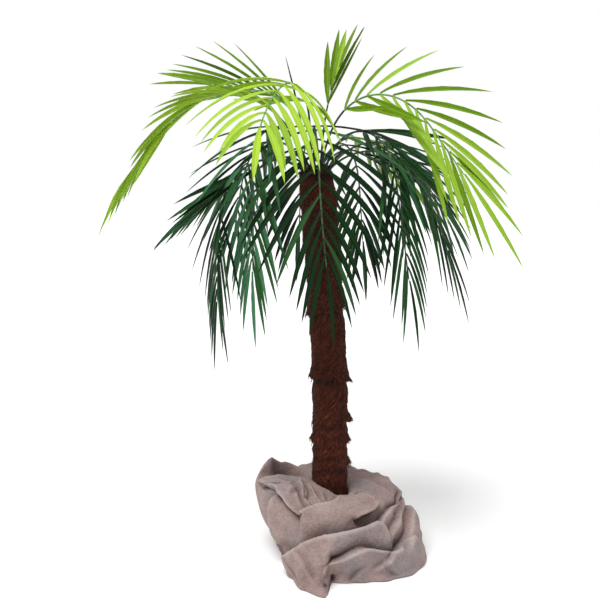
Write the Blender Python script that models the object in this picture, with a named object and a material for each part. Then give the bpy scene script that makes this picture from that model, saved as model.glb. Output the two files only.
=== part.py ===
"""Artificial date palm, 1.8 m tall, on a round cement foot under a gathered cloth.

A straight core stands in the foot and leans a little towards its top. Seven overlapping coir sleeves
cover it. A round head on the core carries nineteen feathered fronds, six light ones in the inner ring
and thirteen dark ones round them, and one dark spear that has not opened. A frond is two solids, parted
at its bend: the bare stalk, and the leafy rib with its leaflets.

Metres, +Z up. The origin is the centre of the foot's underside.
"""

import math
from dataclasses import dataclass

import bmesh
import bpy
from mathutils import Matrix, Vector
from mathutils.bvhtree import BVHTree

GAP = 0.0005  # left between solids that touch in the real tree

# Foot: a small tapered pot filled with cement, with a socket for the core.
FOOT_HEIGHT = 0.170
FOOT_RADIUS_BOTTOM = 0.105
FOOT_RADIUS_TOP = 0.120
FOOT_SIDES = 32
SOCKET_FLOOR = 0.030

# Trunk core, its lean and the head on it.
TRUNK_SIDES = 18
CORE_RADIUS_FOOT = 0.050
CORE_RADIUS_TOP = 0.046
CORE_TOP = 1.270
HEAD_TOP = 1.304
LEAN = 0.052  # how far the top stands over towards -X
LEAN_FROM = 0.50  # height where the lean begins
LEAN_POWER = 1.5

# Coir sleeves, from the top down: the height of each one's lower lip.
SLEEVE_RIM = 1.301
SLEEVE_LIPS = (1.060, 0.845, 0.612, 0.462, 0.391, 0.312, 0.205)
SLEEVE_LAP = 0.015  # how far a lip hangs over the next sleeve
SLEEVE_WALL = 0.0065
SLEEVE_BARREL = 0.004
SLEEVE_FLARE = 0.0085
LIP_THICKNESS = 0.005

# Fronds.
STALK = 0.22  # bare length of a rib, from the head to its first leaflets
LEAFLET_PITCH = 0.041
LEAFLET_ROOT = 0.009
LEAFLET_SHORT = 0.235
LEAFLET_EXTRA = 0.060
LEAFLET_WIDTH_LIGHT = 0.0150
LEAFLET_WIDTH_DARK = 0.0130
LEAFLET_THICKNESS = 0.0030
LEAFLET_STATIONS = (0.34, 0.72)  # shares of its length where a leaflet has a section
LEAFLET_WIDTHS = (1.0, 0.66)
UNEVEN_ANGLE = 3.0  # degrees that a leaflet may stray, up or sideways
UNEVEN_SIZE = 0.05  # share that its length and its sag may stray
RIB_WIDTH_FOOT = 0.0085
RIB_WIDTH_TIP = 0.0042
RIB_STEPS = 60
STALK_RINGS = 5
FORWARD_CURL = 0.50  # how far a leaflet turns along its rib towards its tip
SAG_WEIGHT = 1.6
CLEARANCE = 0.0006  # room kept between leaflets of different fronds


@dataclass(frozen=True)
class Frond:
    """One frond. Angles are in degrees; azimuth 0 is +X and 90 is +Y."""

    name: str
    light: bool
    ring: float  # distance of its socket from the head's centre
    azimuth: float
    rise: float  # slope of the rib at the head
    fall: float  # slope of the rib at its tip
    bend: tuple  # stretch of the rib, as shares, where it goes from rise to fall
    turn: float = 0.0  # how far it swings sideways by its tip
    roll: float = 0.0  # how far its left side is lifted
    length: float = 0.70
    close: float = 0.0  # 0 is an open frond, 1 has its leaflets folded along the rib
    sag: float = 0.32
    spread: tuple = (56.0, 18.0)  # angle of the leaflets to the rib, first and last
    socket: float | None = None  # azimuth of its socket in the head, where that isn't the frond's own
    reach: tuple = (1.0, 1.0)  # how long its first and last leaflets are, beside those of most
    lifts: tuple = (0.0, 0.0)  # how far its left and its right leaflets are raised


INNER_RING = 0.014
MIDDLE_RING = 0.026
OUTER_RING = 0.037

FRONDS = (
    Frond("dark_spear", False, 0.0, 176, 69, 76, (0.0, 1.0), 0, 0, 0.15, 0.0, 0.0),
    Frond("light_front_left", True, INNER_RING, 224, 85, -32, (0.22, 0.70), 40, -6, 0.62, 0.0, 0.60, (88, 34),
          reach=(1.24, 0.82), lifts=(-24, 10)),
    Frond("light_left", True, INNER_RING, 172, 66, -52, (0.02, 0.84), 8, 0, 0.83, 0.50, 0.48, socket=176,
          reach=(0.95, 0.9)),
    Frond("light_back_left", True, INNER_RING, 140, 76, 6, (0.05, 0.80), 20, 30, 0.54, 0.10, 0.10, (46, 20),
          socket=130),
    Frond("light_back", True, INNER_RING, 36, 84, 62, (0.25, 1.05), 0, 0, 0.34, 0.66, 0.04, socket=8,
          reach=(0.8, 0.7)),
    Frond("light_back_right", True, INNER_RING, 48, 58, -40, (-0.10, 0.85), -10, 10, 0.50, 0.0, 0.30, socket=64),
    Frond("light_right", True, INNER_RING, 332, 73, -54, (0.08, 0.80), 20, 45, 0.71, 0.0, 0.13, socket=315,
          reach=(0.84, 1.44), lifts=(-6, 0)),
    Frond("dark_front", False, OUTER_RING, 264, 70, -80, (0.03, 0.62), 46, 0, 0.68, 0.0, 0.30, (76, 18),
          reach=(1.25, 1.0)),
    Frond("dark_front_left", False, OUTER_RING, 226, 65, -90, (0.06, 0.60), -2, 0, 0.70),
    Frond("dark_left", False, OUTER_RING, 199, 57, -88, (-0.20, 0.70), 6, 0, 0.66),
    Frond("dark_far_left", False, MIDDLE_RING, 206, 68, -27, (-0.10, 0.50), -12, 0, 0.33, 0.62, 0.12,
          reach=(1.0, 0.9)),
    Frond("dark_left_back", False, OUTER_RING, 166, 56, -40, (-0.20, 0.62), 0, 0, 0.45, 0.66, 0.12,
          reach=(1.0, 0.9)),
    Frond("dark_back_left", False, OUTER_RING, 136, 62, -76, (-0.10, 0.78), 0, 0, 0.60),
    Frond("dark_back", False, OUTER_RING, 98, 60, -72, (-0.10, 0.75), 0, 0, 0.56),
    Frond("dark_back_right", False, OUTER_RING, 62, 60, -80, (-0.10, 0.75), 0, 0, 0.62),
    Frond("dark_right_back", False, OUTER_RING, 22, 54, -56, (-0.10, 0.80), 0, 0, 0.58),
    Frond("dark_upper_right", False, MIDDLE_RING, 40, 62, -20, (-0.10, 0.50), 0, 0, 0.46, 0.3, 0.10,
          reach=(0.8, 0.8), lifts=(24, 0)),
    Frond("dark_right", False, OUTER_RING, 345, 56, -66, (-0.15, 0.75), -10, 0, 0.58),
    Frond("dark_front_right", False, OUTER_RING, 321, 72, -80, (-0.02, 0.60), 4, 0, 0.72, 0.0, 0.32, (56, 26)),
    Frond("dark_near_right", False, MIDDLE_RING, 334, 66, -84, (0.02, 0.95), -8, 0, 0.46, 0.84, 0.10,
          socket=342),
)

# Cloth round the foot.
CLOTH_SPOKES = 64
CLOTH_HOLE = 0.0680
CLOTH_COLLAR = 0.231  # height where it meets the trunk
CLOTH_INSIDE = 0.012  # least thickness beside the foot
FOLD_WAVES = 7
FOLD_SWIRL = 260.0  # degrees that a fold runs round for each metre it climbs
FOLD_DEPTH = 0.010


@dataclass(frozen=True)
class Hang:
    """How the cloth lies at one azimuth: its reach low, half way up and high, and its crest."""

    azimuth: float
    low: float
    mid: float
    high: float
    crest_radius: float
    crest: float


HANGS = (
    Hang(0, 0.310, 0.268, 0.215, 0.150, 0.236),
    Hang(22, 0.280, 0.258, 0.222, 0.160, 0.238),
    Hang(45, 0.240, 0.236, 0.212, 0.150, 0.244),
    Hang(90, 0.215, 0.215, 0.198, 0.130, 0.252),
    Hang(130, 0.215, 0.220, 0.225, 0.150, 0.275),
    Hang(162, 0.208, 0.226, 0.250, 0.196, 0.328),
    Hang(185, 0.205, 0.220, 0.245, 0.180, 0.285),
    Hang(205, 0.214, 0.215, 0.215, 0.140, 0.250),
    Hang(235, 0.250, 0.222, 0.192, 0.120, 0.243),
    Hang(264, 0.305, 0.232, 0.190, 0.115, 0.236),
    Hang(282, 0.262, 0.236, 0.196, 0.125, 0.234),
    Hang(304, 0.262, 0.240, 0.200, 0.130, 0.240),
    Hang(338, 0.330, 0.270, 0.212, 0.140, 0.236),
)

COLOURS = {
    "foot": (0.20, 0.19, 0.18, 0.85),
    "cloth": (0.36, 0.29, 0.27, 0.95),
    "core": (0.16, 0.09, 0.06, 0.90),
    "coir": (0.075, 0.026, 0.016, 0.95),
    "light": (0.30, 0.55, 0.06, 0.50),
    "dark": (0.022, 0.070, 0.030, 0.50),
}


def stray(frond, place, salt):
    """A steady value from -1 to 1 that differs from leaflet to leaflet."""
    return math.sin(12.9898 * place + 78.233 * salt + 0.37 * frond.azimuth + 4.1 * frond.length)


def smoothstep(value):
    """0 up to 0, 1 from 1, and a smooth curve between."""
    value = min(1.0, max(0.0, value))
    return value * value * (3 - 2 * value)


def lean_at(height):
    """How far the trunk's centre stands from the foot's axis at a height."""
    share = max(0.0, (height - LEAN_FROM) / (HEAD_TOP - LEAN_FROM))
    return -LEAN * share**LEAN_POWER


def finish(mesh, name, colour, smooth_angle=None):
    """A bmesh made into a named object with its own material."""
    bmesh.ops.recalc_face_normals(mesh, faces=mesh.faces)
    if mesh.calc_volume(signed=True) < 0:
        bmesh.ops.reverse_faces(mesh, faces=mesh.faces)
    data = bpy.data.meshes.new(name)
    mesh.to_mesh(data)
    mesh.free()
    thing = bpy.data.objects.new(name, data)
    bpy.context.scene.collection.objects.link(thing)
    if smooth_angle is not None:
        data.shade_smooth()
        data.set_sharp_from_angle(angle=math.radians(smooth_angle))
    red, green, blue, roughness = COLOURS[colour]
    material = bpy.data.materials.new(name)
    material.use_nodes = True
    shader = material.node_tree.nodes["Principled BSDF"]
    shader.inputs["Base Color"].default_value = (red, green, blue, 1.0)
    shader.inputs["Roughness"].default_value = roughness
    shader.inputs["Metallic"].default_value = 0.0
    data.materials.append(material)
    return thing


def turned(profile, sides):
    """A closed ring or a solid turned about Z from a profile of (radius, height) points.

    A profile whose ends lie on the axis closes there; any other is closed into a ring.
    """
    mesh = bmesh.new()
    verts = [mesh.verts.new((radius, 0.0, height)) for radius, height in profile]
    edges = [mesh.edges.new(pair) for pair in zip(verts[:-1], verts[1:])]
    if profile[0][0] > 0:
        edges.append(mesh.edges.new((verts[-1], verts[0])))
    bmesh.ops.spin(
        mesh, geom=verts + edges, cent=(0, 0, 0), axis=(0, 0, 1),
        angle=math.tau, steps=sides, use_merge=True, use_normal_flip=False, use_duplicate=False,
    )
    bmesh.ops.remove_doubles(mesh, verts=mesh.verts, dist=1e-6)
    return mesh


def leaned(mesh):
    """The same mesh with every point carried over by the trunk's lean at its height."""
    for vert in mesh.verts:
        vert.co.x += lean_at(vert.co.z)
    return mesh


# ---------------------------------------------------------------- foot, core, head and sleeves


def core_radius(height):
    share = (height - SOCKET_FLOOR) / (CORE_TOP - SOCKET_FLOOR)
    return CORE_RADIUS_FOOT + (CORE_RADIUS_TOP - CORE_RADIUS_FOOT) * min(1.0, share)


def sleeve_spans():
    """(top, lip, height of the inner step) of each sleeve, from the top down."""
    spans = []
    top = SLEEVE_RIM
    for lip in SLEEVE_LIPS:
        spans.append((top, lip, lip + SLEEVE_LAP + 0.005))
        top = lip + SLEEVE_LAP
    return spans


def build_foot():
    socket = CORE_RADIUS_FOOT + GAP
    profile = [
        (0.0, SOCKET_FLOOR),
        (socket, SOCKET_FLOOR),
        (socket, FOOT_HEIGHT),
        (FOOT_RADIUS_TOP, FOOT_HEIGHT),
        (FOOT_RADIUS_TOP, FOOT_HEIGHT - 0.02),
        (FOOT_RADIUS_BOTTOM, 0.0),
        (0.0, 0.0),
    ]
    return finish(turned(profile, FOOT_SIDES), "foot", "foot", 35)


def build_trunk():
    """The core, with a section at every height where a sleeve's bore begins or ends."""
    heights = {SOCKET_FLOOR + GAP, CORE_TOP}
    for top, _, step in sleeve_spans():
        heights |= {min(top, CORE_TOP), step}
    sides = [(core_radius(height), height) for height in sorted(heights)]
    profile = [(0.0, sides[0][1]), *sides, (0.0, sides[-1][1])]
    return finish(leaned(turned(profile, TRUNK_SIDES)), "trunk", "core", 35)


def build_head():
    profile = [
        (0.0, CORE_TOP + GAP),
        (CORE_RADIUS_TOP, CORE_TOP + GAP),
        (CORE_RADIUS_TOP, HEAD_TOP),
        (0.0, HEAD_TOP),
    ]
    return finish(leaned(turned(profile, TRUNK_SIDES)), "trunk_head", "core", 35)


def sleeve_profile(top, lip, step):
    """Section of a sleeve: snug on the core, barrelled, and flared over the sleeve below."""
    bore_top = core_radius(top) + GAP
    bore_step = core_radius(step) + GAP
    outer = bore_top + SLEEVE_WALL
    length = top - lip
    inside_lip = core_radius(lip) + SLEEVE_WALL + 3 * GAP
    lip_edge = inside_lip + LIP_THICKNESS
    return [
        (bore_top, top),
        (outer, top),
        (outer, top - SLEEVE_LAP - 0.003),
        (outer + SLEEVE_BARREL, top - SLEEVE_LAP - 0.22 * length),
        (outer + 0.3 * SLEEVE_BARREL, top - 0.62 * length),
        (outer + SLEEVE_FLARE, lip + 0.010),
        (lip_edge, lip),
        (inside_lip, lip),
        (inside_lip, step - 0.004),
        (bore_step, step),
    ]


def build_sleeves():
    sleeves = []
    for number, span in enumerate(sleeve_spans(), start=1):
        mesh = leaned(turned(sleeve_profile(*span), TRUNK_SIDES))
        sleeves.append(finish(mesh, f"coir_sleeve_{number}", "coir", 40))
    return sleeves


# ---------------------------------------------------------------- cloth


def hang_at(azimuth):
    """The cloth's reaches and crest at any azimuth, eased between the two nearest in the table."""
    for here, after in zip(HANGS, (*HANGS[1:], HANGS[0])):
        width = (after.azimuth - here.azimuth) % 360
        away = (azimuth - here.azimuth) % 360
        if away < width:
            share = smoothstep(away / width)
            names = ("low", "mid", "high", "crest_radius", "crest")
            return [getattr(here, name) * (1 - share) + getattr(after, name) * share for name in names]
    raise ValueError(f"no hang at {azimuth}")


def fold(azimuth, height):
    """How far a soft fold stands out here: ridges that climb round the foot."""
    angle = math.radians(azimuth + FOLD_SWIRL * height)
    wave = math.sin(FOLD_WAVES * angle) + 0.5 * math.sin((2 * FOLD_WAVES - 3) * angle + 1.3)
    return FOLD_DEPTH * wave / 1.5


def cloth_section(azimuth):
    """Closed section of the cloth at one azimuth, as (radius, height) points."""
    low, mid, high, crest_radius, crest = hang_at(azimuth)
    over_foot = FOOT_HEIGHT + GAP
    rim = FOOT_RADIUS_TOP + 2 * GAP
    dip = CLOTH_COLLAR + 0.3 * (crest - CLOTH_COLLAR)
    outside = [
        (high, 0.80 * crest),
        (mid, 0.115),
        (0.35 * mid + 0.65 * low, 0.060),
        (low, 0.024),
    ]
    folded = [(max(rim + CLOTH_INSIDE, radius + fold(azimuth, height)), height) for radius, height in outside]
    top = fold(azimuth, crest)
    return [
        (CLOTH_HOLE, over_foot),
        (CLOTH_HOLE, CLOTH_COLLAR),
        (0.5 * (CLOTH_HOLE + crest_radius), dip + 0.6 * top),
        (crest_radius, crest + 0.5 * top),
        (0.5 * (crest_radius + high), 0.95 * crest + 0.6 * top),
        *folded,
        (folded[-1][0] - 0.010, 0.0),
        (FOOT_RADIUS_BOTTOM + 2 * GAP, 0.0),
        (rim, FOOT_HEIGHT - 0.02),
        (rim, over_foot),
    ]


def build_cloth():
    """The gathered cloth as one ring: its sections joined round the trunk."""
    mesh = bmesh.new()
    loops = []
    for spoke in range(CLOTH_SPOKES):
        azimuth = 360.0 * spoke / CLOTH_SPOKES
        turn = Matrix.Rotation(math.radians(azimuth), 3, "Z")
        points = [turn @ Vector((radius, 0.0, height)) for radius, height in cloth_section(azimuth)]
        verts = [mesh.verts.new(point) for point in points]
        loops.append([mesh.edges.new(pair) for pair in zip(verts, verts[1:] + verts[:1])])
    for here, after in zip(loops, loops[1:] + loops[:1]):
        bmesh.ops.bridge_loops(mesh, edges=here + after)
    return finish(mesh, "base_cloth", "cloth", 60)


# ---------------------------------------------------------------- fronds


class Rib:
    """A frond's rib: its line, and the directions along, across and above it."""

    def __init__(self, frond):
        self.frond = frond
        azimuth = math.radians(frond.azimuth if frond.socket is None else frond.socket)
        foot = Vector((lean_at(HEAD_TOP), 0.0, HEAD_TOP + GAP))
        foot += frond.ring * Vector((math.cos(azimuth), math.sin(azimuth), 0.0))
        self.points = [foot]
        self.along = []
        step = frond.length / RIB_STEPS
        for number in range(RIB_STEPS):
            share = (number + 0.5) / RIB_STEPS
            self.along.append(self.direction(share))
            self.points.append(self.points[-1] + step * self.along[-1])

    def direction(self, share):
        frond = self.frond
        start, end = frond.bend
        slope = math.radians(frond.rise + (frond.fall - frond.rise) * smoothstep((share - start) / (end - start)))
        azimuth = math.radians(frond.azimuth + frond.turn * share**1.5)
        level = math.cos(slope)
        return Vector((level * math.cos(azimuth), level * math.sin(azimuth), math.sin(slope)))

    def at(self, distance):
        """Point, along, across and above at a distance from the head."""
        share = min(1.0, max(0.0, distance / self.frond.length))
        place = share * RIB_STEPS
        below = min(RIB_STEPS - 1, int(place))
        point = self.points[below].lerp(self.points[below + 1], place - below)
        along = self.direction(share)
        azimuth = math.radians(self.frond.azimuth + self.frond.turn * share**1.5)
        across = Vector((-math.sin(azimuth), math.cos(azimuth), 0.0))
        above = along.cross(across)
        roll = Matrix.Rotation(math.radians(self.frond.roll) * smoothstep(distance / STALK), 3, along)
        return point, along, roll @ across, roll @ above

    def half_width(self, distance):
        share = distance / self.frond.length
        return 0.5 * (RIB_WIDTH_FOOT + (RIB_WIDTH_TIP - RIB_WIDTH_FOOT) * share)

    def ring(self, distance, level=False):
        """Four corners of the rib's section: low left, low right, high right, high left."""
        point, _, across, above = self.at(distance)
        if level:
            above = Vector((math.cos(math.radians(self.frond.azimuth)), math.sin(math.radians(self.frond.azimuth)), 0))
            above = -above
        half = self.half_width(distance)
        return [
            point + half * (across_side * across + above_side * above)
            for across_side, above_side in ((1, -1), (-1, -1), (-1, 1), (1, 1))
        ]


@dataclass(frozen=True)
class Nudge:
    """How a leaflet is eased aside where it would touch another."""

    lift: float = 0.0
    spread: float = 0.0
    twist: float = 0.0
    size: float = 1.0


def nudges():
    """Ways to ease a leaflet aside, the smallest first."""
    ways = []
    for size in (1.0, 0.8, 0.62):
        for lift in (0, 6, -6, 12, -12, 18, -18, 25, -25):
            for spread in (0, 5, -5, 10):
                for twist in (0, 30):
                    effort = abs(lift) + abs(spread) + 0.3 * twist + 200 * (1 - size)
                    ways.append((effort, len(ways), Nudge(lift, spread, twist, size)))
    return [nudge for _, _, nudge in sorted(ways)]


NUDGES = nudges()


class Leaflet:
    """One blade: the corners of its two sections, and its tip."""

    def __init__(self, rib, share, side, nudge):
        frond = rib.frond
        distance = min(frond.length, STALK + (frond.length - STALK) * share)
        self.distance = distance
        self.side = side
        point, along, across, above = rib.at(distance)
        first, last = frond.spread
        open_angle = first + (last - first) * share
        place = 31.0 * share + 7.0 * side
        strays = [UNEVEN_ANGLE * stray(frond, place, salt) * (1 - 0.7 * frond.close) for salt in (1, 2)]
        open_angle = open_angle * (1 - frond.close) + 9 * frond.close + strays[0] + nudge.spread
        angle = math.radians(open_angle) * (side != 0)
        raised = {1: frond.lifts[0], -1: frond.lifts[1], 0: 0.0}[side]
        lift = math.radians(nudge.lift + strays[1] + raised)
        heading = along * math.cos(angle)
        heading += math.sin(angle) * (side * math.cos(lift) * across + math.sin(lift) * above)
        if side == 0:
            heading = along * math.cos(lift) + above * math.sin(lift)
        heading.normalize()
        length = nudge.size * (LEAFLET_SHORT + LEAFLET_EXTRA * math.sin(math.pi * min(1.0, share + 0.2)))
        length *= frond.reach[0] + (frond.reach[1] - frond.reach[0]) * share
        length *= 1 + UNEVEN_SIZE * stray(frond, place, 3)
        twist = math.radians(80 * frond.close + nudge.twist)
        wide = side * heading.cross(above) if side else across.copy()
        half = rib.half_width(distance)
        start = point + side * half * across
        flat = along if side else across
        self.root = (start, 0.5 * LEAFLET_ROOT * flat, self.upper_sign * half * above)
        self.sections, self.tip = self.carry(frond, start, heading, along, wide.normalized(), length, twist)

    def carry(self, frond, start, heading, along, wide, length, twist):
        """Follows the blade as it sags, and returns its sections and its tip."""
        steps = 12
        place = start.copy()
        line = [place.copy()]
        ways = []
        for number in range(steps):
            share = (number + 0.5) / steps
            way = heading + FORWARD_CURL * share * along
            way.z -= SAG_WEIGHT * frond.sag * share
            way.normalize()
            ways.append(way)
            place = place + way * (length / steps)
            line.append(place.copy())
        sections = []
        for share, width in zip(LEAFLET_STATIONS, LEAFLET_WIDTHS):
            number = int(round(share * steps))
            way = ways[number]
            flat = (wide - wide.dot(way) * way).normalized()
            flat = Matrix.Rotation(twist * self.side, 3, way) @ flat
            thick = flat.cross(way).normalized()
            half_width = 0.5 * width * (LEAFLET_WIDTH_LIGHT if frond.light else LEAFLET_WIDTH_DARK)
            half_thick = 0.5 * LEAFLET_THICKNESS * (0.55 + 0.45 * width)
            sections.append((line[number], flat * half_width, thick * half_thick))
        return sections, line[-1]

    def corners(self, number, tip_side, upper):
        """A corner of a section: on the side towards the frond's tip or away, above or below."""
        centre, flat, thick = self.sections[number]
        return centre + tip_side * flat + upper * self.upper_sign * thick

    @property
    def upper_sign(self):
        return 1 if self.side > 0 else -1

    def probe(self):
        """Vertices and faces of the blade, a little fat, for testing what it would touch."""
        verts = []
        for centre, flat, thick in (self.root, *self.sections):
            fat_flat = flat * (1 + CLEARANCE / flat.length)
            fat_thick = thick * (1 + CLEARANCE / thick.length)
            verts += [centre + a * fat_flat + b * fat_thick for a, b in ((1, 1), (-1, 1), (-1, -1), (1, -1))]
        last = self.sections[-1][0]
        verts.append(self.tip + (self.tip - last).normalized() * CLEARANCE)
        faces = []
        for corner in range(4):
            after = (corner + 1) % 4
            for base in (0, 4):
                faces.append((base + corner, base + 4 + corner, base + 4 + after, base + after))
            faces.append((8 + corner, 12, 8 + after))
        return verts, faces


def joined(meshes):
    """One list of vertices and faces from several."""
    verts, faces = [], []
    for some_verts, some_faces in meshes:
        base = len(verts)
        verts += some_verts
        faces += [tuple(base + index for index in face) for face in some_faces]
    return verts, faces


def tree_of(verts, faces):
    return BVHTree.FromPolygons([tuple(vert) for vert in verts], faces)


def rib_probe(rib):
    """Vertices and faces round the whole rib, for testing what would touch it."""
    verts, faces = [], []
    count = 24
    for number in range(count + 1):
        distance = rib.frond.length * number / count
        point, _, across, above = rib.at(distance)
        half = rib.half_width(distance) + CLEARANCE
        verts += [point + half * (a * across + b * above) for a, b in ((1, -1), (-1, -1), (-1, 1), (1, 1))]
        if number:
            base = 4 * (number - 1)
            for corner in range(4):
                after = (corner + 1) % 4
                faces.append((base + corner, base + after, base + 4 + after, base + 4 + corner))
    return verts, faces


def leaflet_places(frond):
    """(share of the leafy stretch, side) of each leaflet, from the stalk to the tip."""
    count = round((frond.length - STALK) / LEAFLET_PITCH)
    places = [(number / count, side) for number in range(count) for side in (1, -1)]
    return [*places, (1.0, 0)]


def chosen_leaflet(rib, share, side, others, own):
    """The least eased leaflet here that touches nothing, or None."""
    for nudge in NUDGES:
        leaflet = Leaflet(rib, share, side, nudge)
        blade = leaflet.probe()
        tree = tree_of(*blade)
        if any(tree.overlap(other) for other in others):
            continue
        if any(tree.overlap(other) for other in own):
            continue
        return leaflet, blade, tree
    return None


def extruded(mesh, face, corners):
    """Extrudes one face and moves its four corners, given in the face's own order."""
    new = bmesh.ops.extrude_discrete_faces(mesh, faces=[face])["faces"][0]
    for loop, corner in zip(new.loops, corners):
        loop.vert.co = corner
    return new


def side_face(cap, number):
    """The wall face that shares an edge with the cap."""
    return cap.loops[number].link_loop_radial_next.face


def grow_leaflet(mesh, face, rib, leaflet):
    """Grows a blade from a face of the rib, section by section, to a point."""
    point, along, _, above = rib.at(leaflet.distance)
    places = []
    for loop in face.loops:
        from_rib = loop.vert.co - point
        tip_side = 1 if from_rib.dot(along) > 0 else -1
        upper = 1 if from_rib.dot(above) > 0 else -1
        places.append((tip_side, upper))
    for number in range(len(leaflet.sections)):
        face = extruded(mesh, face, [leaflet.corners(number, a, b) for a, b in places])
    centre = bmesh.ops.poke(mesh, faces=[face])["verts"][0]
    centre.co = leaflet.tip


def grow_tip(mesh, cap, leaflet):
    """Ends the rib in its last leaflet."""
    signs = ((1, -1), (-1, -1), (-1, 1), (1, 1))
    for number in range(len(leaflet.sections)):
        centre, flat, thick = leaflet.sections[number]
        cap = extruded(mesh, cap, [centre + a * flat - b * thick for a, b in signs])
    centre = bmesh.ops.poke(mesh, faces=[cap])["verts"][0]
    centre.co = leaflet.tip


def grown_rib(rib, start, distances):
    """A rib from one distance through others, as a mesh with an open foot, and its end face."""
    mesh = bmesh.new()
    cap = mesh.faces.new([mesh.verts.new(corner) for corner in rib.ring(start, level=start == 0.0)])
    for distance in distances:
        cap = extruded(mesh, cap, rib.ring(distance))
    return mesh, cap


def build_stalk(rib):
    """The bare stalk, from the head to where the frond hangs on."""
    end = STALK - LEAFLET_ROOT
    steps = [end * number / STALK_RINGS for number in range(1, STALK_RINGS + 1)]
    mesh, _ = grown_rib(rib, 0.0, steps)
    bmesh.ops.holes_fill(mesh, edges=mesh.edges, sides=4)
    return finish(mesh, f"stalk_{rib.frond.name}", "light" if rib.frond.light else "dark")


def build_frond(rib, leaflets):
    """The leafy part: the rib, extruded ring by ring, with a leaflet grown from each short wall."""
    frond = rib.frond
    opened = frond.length > STALK
    start = STALK - LEAFLET_ROOT + GAP if opened else 0.0
    steps = [] if opened else [frond.length * number / STALK_RINGS for number in range(1, STALK_RINGS)]
    mesh, cap = grown_rib(rib, start, steps)
    by_place = {}
    for leaflet in leaflets:
        by_place.setdefault(round(leaflet.distance, 6), []).append(leaflet)
    for distance in sorted(by_place):
        if distance >= frond.length - 1e-6:
            break
        cap = extruded(mesh, cap, rib.ring(distance - 0.5 * LEAFLET_ROOT))
        cap = extruded(mesh, cap, rib.ring(distance + 0.5 * LEAFLET_ROOT))
        walls = {1: side_face(cap, 3), -1: side_face(cap, 1)}
        for leaflet in by_place[distance]:
            grow_leaflet(mesh, walls[leaflet.side], rib, leaflet)
    cap = extruded(mesh, cap, rib.ring(frond.length))
    last = [leaflet for leaflet in leaflets if leaflet.side == 0]
    if last:
        grow_tip(mesh, cap, last[0])
    bmesh.ops.holes_fill(mesh, edges=mesh.edges, sides=4)
    return finish(mesh, f"frond_{frond.name}", "light" if frond.light else "dark")


def build_fronds(standing):
    """Every frond, its leaflets eased clear of the trunk, the ribs and the fronds before it."""
    ribs = [Rib(frond) for frond in FRONDS]
    rib_trees = {rib.frond.name: tree_of(*rib_probe(rib)) for rib in ribs}
    done = [BVHTree.FromObject(thing, bpy.context.evaluated_depsgraph_get()) for thing in standing]
    for rib in ribs:
        name = rib.frond.name
        others = done + [tree for other, tree in rib_trees.items() if other != name]
        leaflets, blades, own = [], [], []
        for share, side in leaflet_places(rib.frond):
            found = chosen_leaflet(rib, share, side, others, own)
            if found:
                leaflets.append(found[0])
                blades.append(found[1])
                own.append(found[2])
        build_frond(rib, leaflets)
        if rib.frond.length > STALK:
            build_stalk(rib)
        done.append(tree_of(*joined(blades)))


def main():
    for thing in list(bpy.data.objects):
        bpy.data.objects.remove(thing, do_unlink=True)
    build_foot()
    trunk = build_trunk()
    head = build_head()
    sleeves = build_sleeves()
    build_cloth()
    bpy.context.view_layer.update()
    build_fronds([trunk, head, *sleeves])


main()
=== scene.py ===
"""Looks of an artificial date palm: feathered fronds, a coir-wrapped trunk and a gathered cloth on its foot.

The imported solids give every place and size. Each frond is grown again by the rule of its solid, with
finer leaflets, a round rib with collars, and a stalk. Each coir sleeve becomes a relief of matted fibre
with loose strands and a ragged lip. The cloth is sculpted over its solid as one gathered sheet.

Metres, +Z up. The origin is the centre of the foot's underside.
"""

import logging
import math
import random
from collections.abc import Callable, Iterable, Sequence
from dataclasses import dataclass, field
from enum import Enum
from itertools import product

import bmesh
import bpy
import numpy as np
from mathutils import Matrix, Vector, noise
from mathutils.bvhtree import BVHTree


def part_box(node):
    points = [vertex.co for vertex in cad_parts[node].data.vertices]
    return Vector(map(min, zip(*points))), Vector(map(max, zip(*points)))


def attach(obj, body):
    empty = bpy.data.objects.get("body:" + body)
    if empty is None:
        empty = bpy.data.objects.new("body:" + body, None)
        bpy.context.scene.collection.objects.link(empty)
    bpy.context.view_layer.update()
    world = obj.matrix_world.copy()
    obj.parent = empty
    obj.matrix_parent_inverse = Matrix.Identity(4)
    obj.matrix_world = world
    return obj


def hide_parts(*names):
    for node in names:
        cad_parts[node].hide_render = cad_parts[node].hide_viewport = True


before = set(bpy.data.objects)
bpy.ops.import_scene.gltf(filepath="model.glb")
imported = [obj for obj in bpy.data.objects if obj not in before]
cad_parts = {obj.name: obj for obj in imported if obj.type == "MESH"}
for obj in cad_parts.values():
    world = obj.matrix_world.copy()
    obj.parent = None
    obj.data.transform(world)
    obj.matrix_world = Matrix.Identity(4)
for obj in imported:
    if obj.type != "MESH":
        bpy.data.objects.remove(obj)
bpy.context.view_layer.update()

LOG = logging.getLogger("date_palm")
BODY = "root"
SEED = 41
UNDER_SIDE = 2.0  # how far the under side of a small tube is moved across in its map

Colour = tuple[float, float, float, float]
Scale = tuple[float, float, float]
Ring = list[Vector]
Placer = Callable[[float, float, int], Vector]  # from two places across a tube and a ring's number to a point


# ---------------------------------------------------------------- small sums


def smoothstep(value: float) -> float:
    """0 up to 0, 1 from 1, and a smooth curve between."""
    value = min(1.0, max(0.0, value))
    return value * value * (3 - 2 * value)


def eased(values: np.ndarray) -> np.ndarray:
    """smoothstep, for many values at once."""
    values = np.clip(values, 0.0, 1.0)
    return values * values * (3 - 2 * values)


def blended(first: float, second: float, share: float) -> float:
    """The value that lies a share of the way from the first to the second."""
    return first + (second - first) * share


def turned(azimuth: float | np.ndarray, start: float) -> float | np.ndarray:
    """How far an azimuth is round from another, from -180 to 180 degrees."""
    return (azimuth - start + 180) % 360 - 180


def shares(count: int) -> list[float]:
    """Shares from 0 to 1 in even steps."""
    return [number / count for number in range(count + 1)]


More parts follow.
